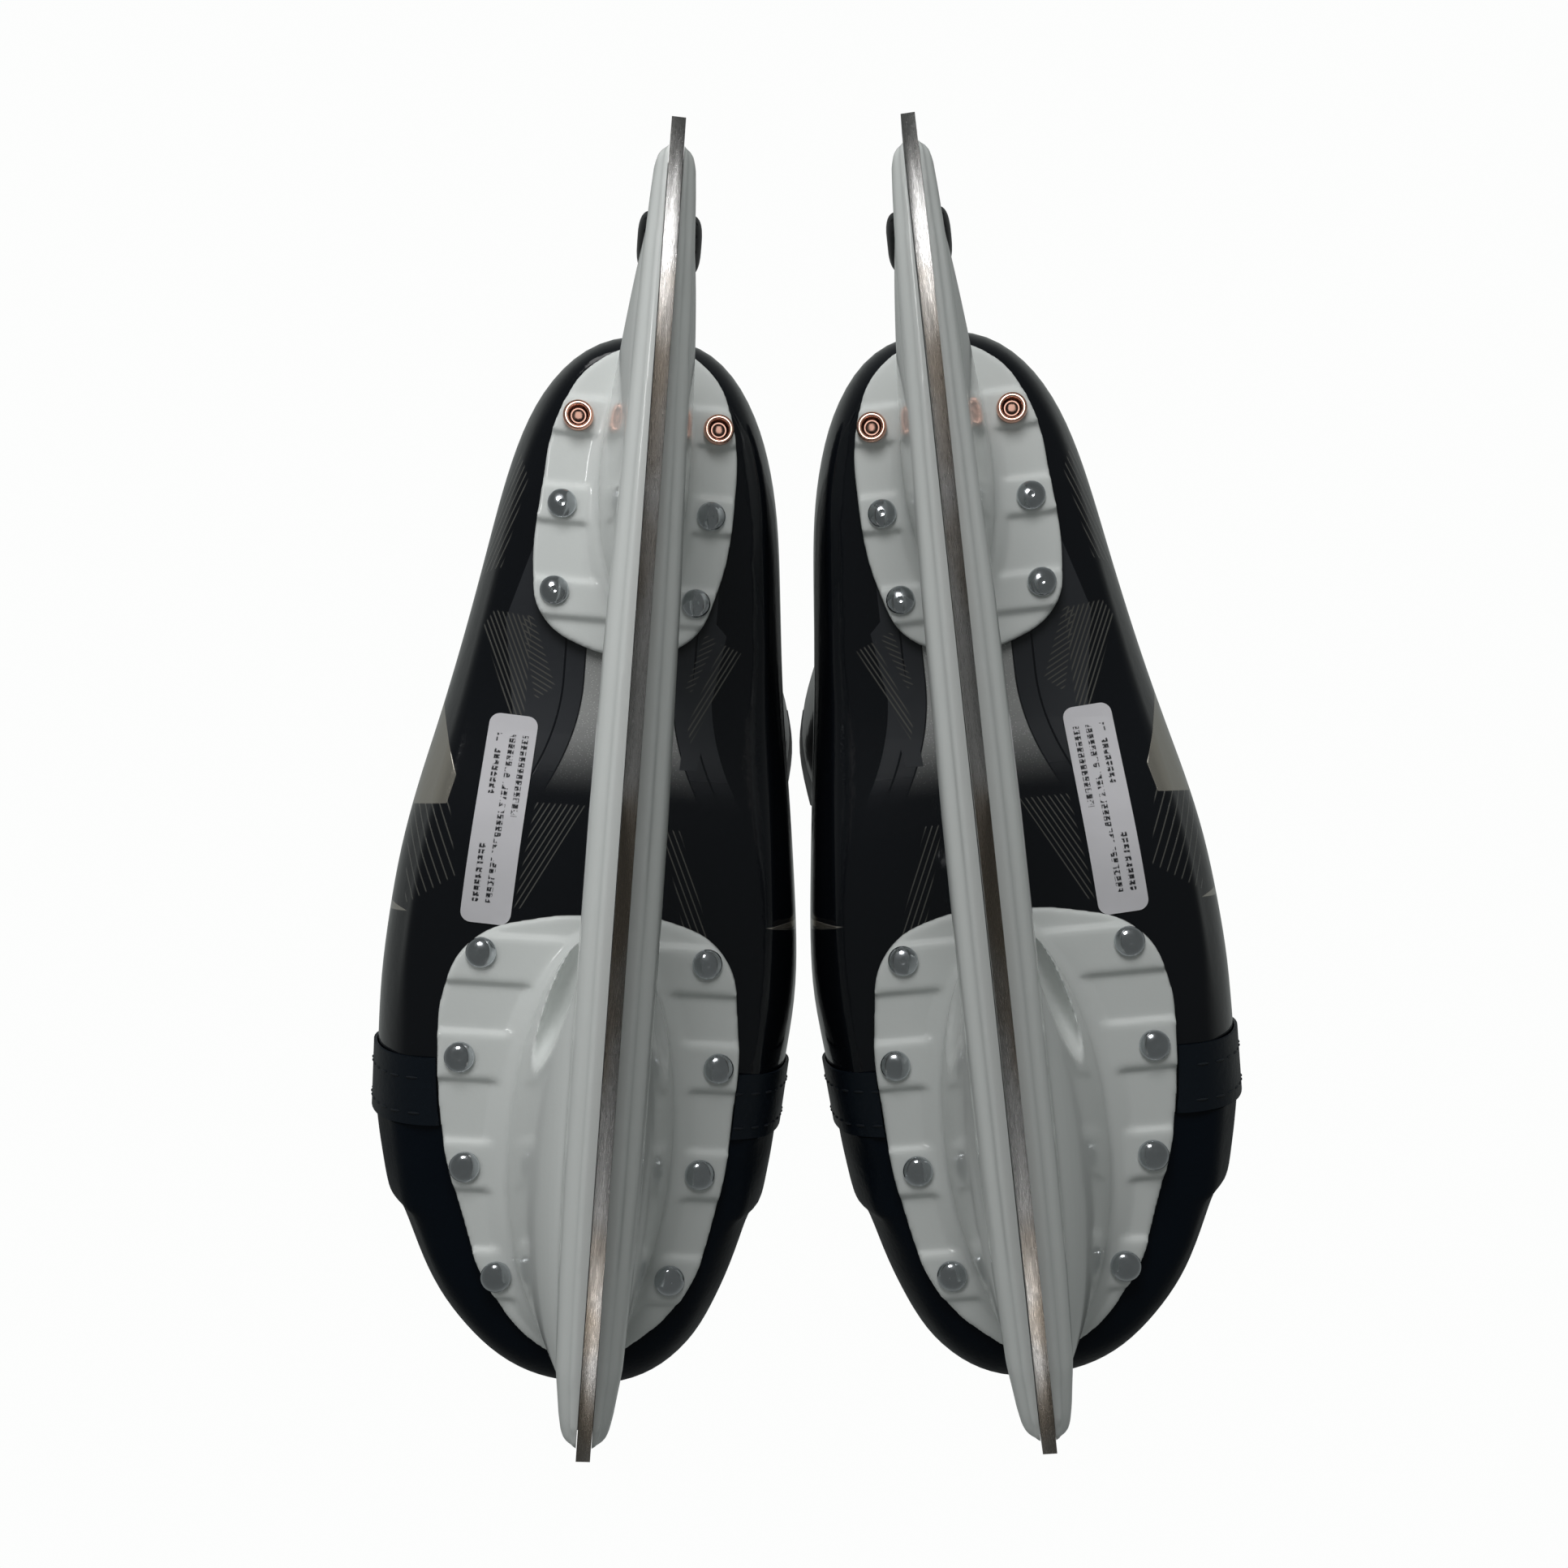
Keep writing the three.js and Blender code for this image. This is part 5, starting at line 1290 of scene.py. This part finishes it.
# ------------------------------------------------------------------ boot
@dataclass
class Boot:
    """The boot's hard pieces: shell, toe cap, vamp strip, facings, tendon guard and label."""

    levels: int = 2
    stitch_length: float = 3.0
    stitch_gap: float = 1.5
    stitch_radius: float = 0.32
    strip_rows: tuple[float, ...] = (-72.8, -81.2)
    path_jump: float = 8.0
    strip_middle: tuple[float, float] = (6.0, 92.0)   # x and z that the stitches are found from
    eyelet_wire: float = 0.6
    eyelet_radius: float = 2.1
    eyelet_lip: float = 0.35
    rim_angle: float = 50.0    # edges turned by more degrees than this are a hole's rim
    ankle_y: float = 35.0      # the lace holes face away from here
    ankle_drop: float = 25.0   # and from this much lower
    probe_rise: float = 3.0    # the facing is felt from this far out of a hole
    probe_reach: float = 4.5   # and this far beside its middle
    label_size: tuple[float, float] = (12.0, 51.0)
    label_place: tuple[float, float] = (31.0, -9.6)
    label_turn: float = 3.0
    label_corner: float = 2.6
    label_grid: float = 1.5
    label_gap: float = 0.2
    label_thickness: float = 0.22

    def build(self, fitter: Fitter) -> None:
        """Models the hard pieces and fits them.

        Args:
            fitter: sets them in place.
        """
        shell = self.skin(fitter, "shell", 50)
        self.label(fitter, shell)
        fitter.fit(shell, "printed_shell", Seat("skate", "shell_gloss", "shell", ("shell",)))
        strip = self.skin(fitter, "vamp_strip", 50)
        self.stitches(fitter, strip)
        fitter.fit(strip, "vamp_band", Seat("skate", "strip", "strip", ("vamp_strip",)))
        toe = self.skin(fitter, "toe_cap", 50)
        fitter.fit(toe, "toe_cup", Seat("skate", "toe_cap", "toe_cap", ("toe_cap",)))
        for edge in ("inner", "outer"):
            facing = self.skin(fitter, f"facing_{edge}", 50)
            self.eyelets(fitter, edge)
            seat = Seat("skate", "facing", "facing", (f"facing_{edge}",))
            fitter.fit(facing, f"eyelet_facing_{edge}", seat)
        guard = self.skin(fitter, "tendon_guard", 60)
        fitter.fit(guard, "tendon_guard_skin", Seat("tendon_guard", "guard", "guard", ("tendon_guard",)))

    def skin(self, fitter: Fitter, node: str, sharp: float) -> bpy.types.Object:
        """Returns a smooth version of a CAD node's faceted skin.

        Args:
            fitter: knows the skate's frame.
            node: the node's name without its side.
            sharp: edges turned by more degrees than this stay sharp.
        """
        piece = creased(of_node(fitter.place, node, node), sharp)
        return smooth(subdivided(piece, self.levels), 40)

    def eyelets(self, fitter: Fitter, edge: str) -> None:
        """Sets a rolled ring in each lace hole of a facing and fits them as one piece."""
        rings = []
        for centre, normal in self.lace_holes(fitter, edge):
            deselect()
            bpy.ops.mesh.primitive_torus_add(
                major_segments=28, minor_segments=10,
                major_radius=(self.eyelet_radius + self.eyelet_lip) * MM,
                minor_radius=self.eyelet_wire * MM,
            )
            ring = added("eyelet")
            ring.data.transform(facing_along(normal, centre))
            rings.append(ring)
        whole = smooth(joined(rings, "eyelets"), 60)
        fitter.fit(whole, f"eyelet_rings_{edge}", Seat("skate", "facing", "eyelet"))

    def lace_holes(self, fitter: Fitter, edge: str) -> list[tuple[Vector, Vector]]:
        """Returns the centre and the outward direction of each lace hole.

        The centre lies on the facing's outer face. The direction is the mean of the face's normals at
        eight points around the hole.

        Args:
            fitter: knows the skate's frame.
            edge: the facing, outer or inner.
        """
        piece = of_node(fitter.place, f"facing_{edge}", "facing outline", quads=False)
        points = [vertex.co.copy() for vertex in piece.data.vertices]
        surface = BVHTree.FromPolygons(points, [tuple(face.vertices) for face in piece.data.polygons])
        holes = []
        for group in self.rims(piece):
            centre = sum((points[i] for i in group), Vector()) / len(group)
            if max((points[i] - centre).length for i in group) > 1.5 * self.eyelet_radius * MM:
                continue
            ankle = Vector((0, self.ankle_y * MM, centre.z - self.ankle_drop * MM))
            out = (centre - ankle).normalized()
            side = out.orthogonal().normalized()
            normal = Vector()
            for turn in range(8):
                around = Matrix.Rotation(math.radians(45 * turn), 3, out) @ side
                beside = centre + out * (self.probe_rise * MM) + around * (self.probe_reach * MM)
                normal += surface.find_nearest(beside)[1]
            normal.normalize()
            rise = max((points[i] - centre).dot(normal) for i in group)
            holes.append((centre + normal * rise, normal))
        removed([piece])
        return holes

    def rims(self, piece: bpy.types.Object) -> list[set[int]]:
        """Returns the points of each group of sharp edges that hang together."""
        near: dict[int, set[int]] = {}
        for a, b in self.sharp_edges(piece):
            near.setdefault(a, set()).add(b)
            near.setdefault(b, set()).add(a)
        groups = []
        seen: set[int] = set()
        for start in near:
            if start in seen:
                continue
            group, queue = {start}, [start]
            while queue:
                fresh = near[queue.pop()] - group
                group |= fresh
                queue.extend(fresh)
            seen |= group
            groups.append(group)
        return groups

    def sharp_edges(self, piece: bpy.types.Object) -> list[tuple[int, int]]:
        """Returns the edges whose two faces meet steeply."""
        faces: dict[tuple[int, int], list[Vector]] = {}
        for face in piece.data.polygons:
            for key in face.edge_keys:
                faces.setdefault(key, []).append(face.normal.copy())
        steep = math.cos(math.radians(self.rim_angle))
        return [key for key, pair in faces.items() if len(pair) == 2 and pair[0].dot(pair[1]) < steep]

    def label(self, fitter: Fitter, shell: bpy.types.Object) -> None:
        """Lays the rounded size label on the shell's underside and fits it."""
        wide, long = self.label_size
        x, y = self.label_place
        deselect()
        bpy.ops.mesh.primitive_plane_add(size=1, location=(0, 0, 0))
        piece = added("label")
        piece.scale = (wide * MM, long * MM, 1)
        edit(settle(piece))
        bpy.ops.mesh.bevel(offset=self.label_corner * MM, segments=6, affect="VERTICES")
        bpy.ops.mesh.quads_convert_to_tris()
        leave()
        for axis, size in ((0, wide), (1, long)):
            steps = int(size / self.label_grid)
            for i in range(1, steps):
                centre = [0.0, 0.0, 0.0]
                centre[axis] = (i / steps - 0.5) * size * MM
                edit(piece)
                bpy.ops.mesh.bisect(plane_co=centre, plane_no=(1 - axis, axis, 0))
                leave()
        layer = piece.data.uv_layers.new(name="label")
        for loop in piece.data.loops:
            point = piece.data.vertices[loop.vertex_index].co / MM
            layer.data[loop.index].uv = (point.x + wide / 2, long / 2 - point.y)
        piece.rotation_euler = (0, 0, math.radians(self.label_turn))
        piece.location = (x * MM, y * MM, 0.02)
        modified(
            settle(piece), "SHRINKWRAP", target=shell, wrap_method="PROJECT", use_project_x=False,
            use_project_y=False, use_project_z=True, use_negative_direction=False,
            use_positive_direction=True, offset=self.label_gap * MM,
        )
        modified(piece, "SOLIDIFY", thickness=self.label_thickness * MM, offset=0)
        edit(piece)
        bpy.ops.mesh.normals_make_consistent(inside=False)
        smooth(leave(), 50)
        fitter.fit(piece, "size_label", Seat("skate", "label", "label", ("label",)))

    def stitches(self, fitter: Fitter, strip: bpy.types.Object) -> None:
        """Sews two rows of thread along the strip's edges and fits them as one piece."""
        made = []
        skin = strip.evaluated_get(bpy.context.evaluated_depsgraph_get())
        x, z = self.strip_middle
        for y in self.strip_rows:
            path = []
            for degrees in range(-90, 271):
                angle = math.radians(degrees)
                away = Vector((math.cos(angle), 0, math.sin(angle)))
                start = Vector((x * MM, y * MM, z * MM)) + away * 0.15
                hit, place, _, _ = skin.ray_cast(start, -away, distance=0.14)
                if hit:
                    path.append(place)
            made += self.sewn(path)
        fitter.fit(smooth(joined(made, "stitches"), 60), "vamp_stitches", Seat("skate", "strip", "thread"))

    def sewn(self, path: list[Vector]) -> list[bpy.types.Object]:
        """Returns one stitch after another along a path.

        Args:
            path: points along the strip, in metres. A jump between two of them is a gap in the strip.
        """
        deselect()
        bpy.ops.mesh.primitive_uv_sphere_add(segments=8, ring_count=6, radius=self.stitch_radius * MM)
        master = added("stitch")
        master.scale = (1, 1, self.stitch_length / 2 / self.stitch_radius)
        settle(master)
        made = []
        pitch = (self.stitch_length + self.stitch_gap) * MM
        run = 0.0
        for a, b in zip(path, path[1:]):
            step = (b - a).length
            run = 0.0 if step > self.path_jump * MM else run + step
            if run < pitch:
                continue
            run = 0.0
            stitch = copied(master, "stitch copy")
            stitch.data.transform(facing_along(b - a, b))
            made.append(stitch)
        removed([master])
        return made


# ------------------------------------------------------------------ soft goods
@dataclass
class SoftGoods:
    """The felt tongue, the lining and the insole, swelled by a cloth simulation where they are padded."""

    frames: int = 20
    pressure: float = 4.0
    quality: int = 4
    relax: int = 6
    tongue_voxel: float = 0.0021
    tongue_rise: float = 0.0012   # the furthest that the swelling moves a point, in metres
    liner_voxel: float = 0.0026
    liner_rise: float = 0.0006

    def build(self, fitter: Fitter) -> None:
        """Models the soft pieces and fits them.

        Args:
            fitter: sets them in place.
        """
        tongue = self.padded(fitter, "tongue", self.tongue_voxel, self.tongue_rise)
        fitter.fit(tongue, "felt_tongue", Seat("tongue", "felt", "felt", ("tongue",)))
        liner = self.padded(fitter, "liner", self.liner_voxel, self.liner_rise)
        fitter.fit(liner, "ankle_liner", Seat("skate", "lining", "lining", ("liner",)))
        insole = creased(of_node(fitter.place, "footbed", "footbed"), 50, 0.6)
        insole = smooth(subdivided(insole, 2), 50)
        fitter.fit(insole, "insole", Seat("skate", "foam", "foam", ("footbed",)))

    def padded(self, fitter: Fitter, node: str, voxel: float, cap: float) -> bpy.types.Object:
        """Returns a padded piece: remeshed, relaxed, then swelled by pressure.

        Args:
            fitter: knows the skate's frame.
            node: the CAD node that it stands for, without its side.
            voxel: size of its faces, in metres.
            cap: the furthest that a point may move, in metres.
        """
        piece = of_node(fitter.place, node, node, quads=False)
        moulded(piece, voxel, self.relax)
        self.swell(piece, cap)
        modified(piece, "SUBSURF", levels=1, render_levels=1)
        return smooth(piece, 60)

    def swell(self, piece: bpy.types.Object, cap: float) -> None:
        """Runs the cloth simulation on one piece and keeps its result within the cap.

        Args:
            piece: the object to swell.
            cap: the furthest that a point may move, in metres.
        """
        rest = points_of(piece.data)
        cloth = piece.modifiers.new("cloth", "CLOTH")
        cloth.settings.use_pressure = True
        cloth.settings.uniform_pressure_force = self.pressure
        cloth.settings.effector_weights.gravity = 0
        cloth.settings.quality = self.quality
        cloth.point_cache.frame_end = self.frames
        for number in range(1, self.frames + 1):
            bpy.context.scene.frame_set(number)
        graph = bpy.context.evaluated_depsgraph_get()
        moved = points_of(piece.evaluated_get(graph).data)
        piece.modifiers.remove(cloth)
        bpy.context.scene.frame_set(1)
        step = moved - rest
        length = np.maximum(np.linalg.norm(step, axis=1, keepdims=True), 1e-9)
        set_points(piece.data, rest + step * np.minimum(1.0, cap / length))


# ------------------------------------------------------------------ studio
@dataclass(frozen=True)
class Lamp:
    """A square area light: its place and aim in metres, its side and its power in watts.

    It is kept out of reflections where mirrored is False. Where only is given, it lights just the
    pieces that have that text in their names.
    """

    name: str
    place: Point
    aim: Point
    size: float
    power: float
    mirrored: bool = True
    only: str = ""


LAMPS = (
    Lamp("heel light", (0, 0.5, -0.45), (0, 0.08, 0.04), 0.2, 1.9, only="runner_steel"),
    Lamp("head glint", (0.12, 0.3, -0.5), (0, 0, 0.06), 0.12, 1.2, only="dome_rivet"),
    Lamp("copper light", (0, 0.17, -0.5), (0, 0.08, 0.07), 0.36, 2.6, only="tube_rivet"),
    Lamp("toe light", (0, -0.5, -0.45), (0, -0.1, 0.02), 0.25, 1.1, only="runner_steel"),
    Lamp("heel fill", (0.05, 0.52, -0.34), (0, 0.10, 0.06), 0.34, 2.5, mirrored=False),
    Lamp("under light", (0.1, 0.1, -0.9), (0, 0, 0.06), 0.5, 0.3, mirrored=False),
    Lamp("side light", (0.75, 0.1, -0.35), (0, 0, 0.08), 0.4, 0.4, mirrored=False),
    Lamp("shell glint", (0.25, 0.85, -0.3), (0, 0.08, 0.06), 0.32, 1.1, only="printed_shell"),
    Lamp("rail glint", (0.5, 0.3, -0.45), (0, 0.05, 0.03), 0.1, 0.5, only="holder_moulding"),
    Lamp("top light", (-0.15, -0.2, 1.3), (0, 0, 0.1), 0.9, 14.0, mirrored=False),
    Lamp("rear light", (0.6, 0.9, 0.9), (0, 0, 0.1), 0.6, 6.0, mirrored=False),
)


@dataclass
class Studio:
    """The pale floor, the soft lights and the camera under the skates."""

    floor_size: float = 6.0
    lens: float = 35.40
    camera_offset: Point = (0.00438, 0.00053, -0.312)
    camera_roll: float = 0.986
    sky: tuple[tuple[float, float], ...] = (  # height of a direction, from 0 to 1, and its grey
        (0.01, 0.12), (0.12, 0.12), (0.26, 0.13), (0.42, 0.19), (0.52, 0.21), (0.7, 0.22), (0.99, 0.24),
    )

    def build(self) -> None:
        """Makes the floor, the lights, the surroundings and the camera."""
        self.floor()
        self.surroundings()
        for lamp in LAMPS:
            self.hang(lamp)
        self.camera()

    def floor(self) -> None:
        """Lays a pale floor that is seen from above only, since the camera looks up through it."""
        deselect()
        bpy.ops.mesh.primitive_plane_add(size=self.floor_size, location=(0, 0, 0))
        floor = added("floor")
        nodes = Nodes("pale floor")
        nodes.surface(Base_Color=(0.82, 0.82, 0.81), Roughness=0.7)
        under = nodes.node("ShaderNodeNewGeometry").outputs["Backfacing"]
        clear = nodes.node("ShaderNodeBsdfTransparent").outputs[0]
        mixed = nodes.node("ShaderNodeMixShader")
        nodes.feed(mixed.inputs[0], under)
        nodes.tree.links.new(nodes.shader.outputs[0], mixed.inputs[1])
        nodes.tree.links.new(clear, mixed.inputs[2])
        nodes.tree.links.new(mixed.outputs[0], nodes.tree.nodes["Material Output"].inputs["Surface"])
        floor.data.materials.append(nodes.material)
        floor.visible_shadow = False
        floor.visible_diffuse = False
        floor.visible_glossy = False

    def surroundings(self) -> None:
        """Gives a pale backdrop that the lens sees and a dimmer one that lights the pieces."""
        world = bpy.data.worlds.new("studio")
        bpy.context.scene.world = world
        world.use_nodes = True
        tree = world.node_tree
        output = tree.nodes["World Output"]
        seen = tree.nodes["Background"]
        seen.inputs["Color"].default_value = (0.98, 0.985, 0.98, 1)
        seen.inputs["Strength"].default_value = 1.0
        lit = tree.nodes.new("ShaderNodeBackground")
        lit.inputs["Color"].default_value = (0.90, 0.95, 0.93, 1)
        direction = tree.nodes.new("ShaderNodeSeparateXYZ")
        tree.links.new(tree.nodes.new("ShaderNodeTexCoord").outputs["Generated"], direction.inputs[0])
        height = tree.nodes.new("ShaderNodeValToRGB")
        stops = height.color_ramp.elements
        for place, grey in self.sky:
            stops.new(place).color = (grey, grey, grey, 1)
        for spare in (0, -1):  # the two stops that a ramp starts with
            stops.remove(stops[spare])
        scaled = tree.nodes.new("ShaderNodeMapRange")
        scaled.inputs["From Min"].default_value = -1
        tree.links.new(direction.outputs["Z"], scaled.inputs["Value"])
        tree.links.new(scaled.outputs["Result"], height.inputs[0])
        tree.links.new(height.outputs["Color"], lit.inputs["Strength"])
        path = tree.nodes.new("ShaderNodeLightPath")
        mixed = tree.nodes.new("ShaderNodeMixShader")
        tree.links.new(path.outputs["Is Camera Ray"], mixed.inputs[0])
        tree.links.new(lit.outputs[0], mixed.inputs[1])
        tree.links.new(seen.outputs[0], mixed.inputs[2])
        tree.links.new(mixed.outputs[0], output.inputs["Surface"])
        bpy.context.scene.view_settings.view_transform = "Standard"

    def hang(self, lamp: Lamp) -> None:
        """Hangs one light."""
        deselect()
        bpy.ops.object.light_add(type="AREA", location=lamp.place)
        light = added(lamp.name)
        light.data.energy = lamp.power
        light.data.size = lamp.size
        light.visible_glossy = lamp.mirrored
        light.rotation_mode = "QUATERNION"
        towards = Vector(lamp.aim) - Vector(lamp.place)
        light.rotation_quaternion = towards.to_track_quat("-Z", "Y")
        if lamp.only:
            lit = bpy.data.collections.new(lamp.name)
            for piece in bpy.context.scene.objects:
                if lamp.only in piece.name:
                    lit.objects.link(piece)
            light.light_linking.receiver_collection = lit

    def camera(self) -> None:
        """Sets the camera under the middle of the runners, looking up."""
        boxes = [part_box(f"{side.value}_runner") for side in Side]
        low = Vector([min(box[0][i] for box in boxes) for i in range(3)])
        high = Vector([max(box[1][i] for box in boxes) for i in range(3)])
        middle = Vector(((low.x + high.x) / 2, (low.y + high.y) / 2, 0))
        deselect()
        bpy.ops.object.camera_add(location=middle + Vector(self.camera_offset))
        camera = added("camera")
        roll = math.radians(self.camera_roll)
        right = Vector((-math.cos(roll), -math.sin(roll), 0))
        up = Vector((-math.sin(roll), math.cos(roll), 0))
        camera.rotation_euler = Matrix((right, up, Vector((0, 0, -1)))).transposed().to_euler()
        camera.data.lens = self.lens
        camera.data.sensor_width = 36.0
        camera.data.clip_start = 0.01
        bpy.context.scene.camera = camera


def main() -> None:
    """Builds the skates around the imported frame."""
    logging.basicConfig(level=logging.INFO, format="%(message)s")
    place = SkateFrame(frame["record"])
    fitter = Fitter(place, Paintshop(Finishes()))
    Holder().build(fitter)
    Runner().build(fitter)
    LockDial().build(fitter)
    Rivets().build(fitter)
    Boot().build(fitter)
    SoftGoods().build(fitter)
    Studio().build()
    for side in Side:
        pin = frame["nodes"][f"{side.value}_front_pin"]
        pin.data.materials.clear()
        pin.data.materials.append(fitter.paint.material("zinc"))


if __name__ == "__main__":
    main()
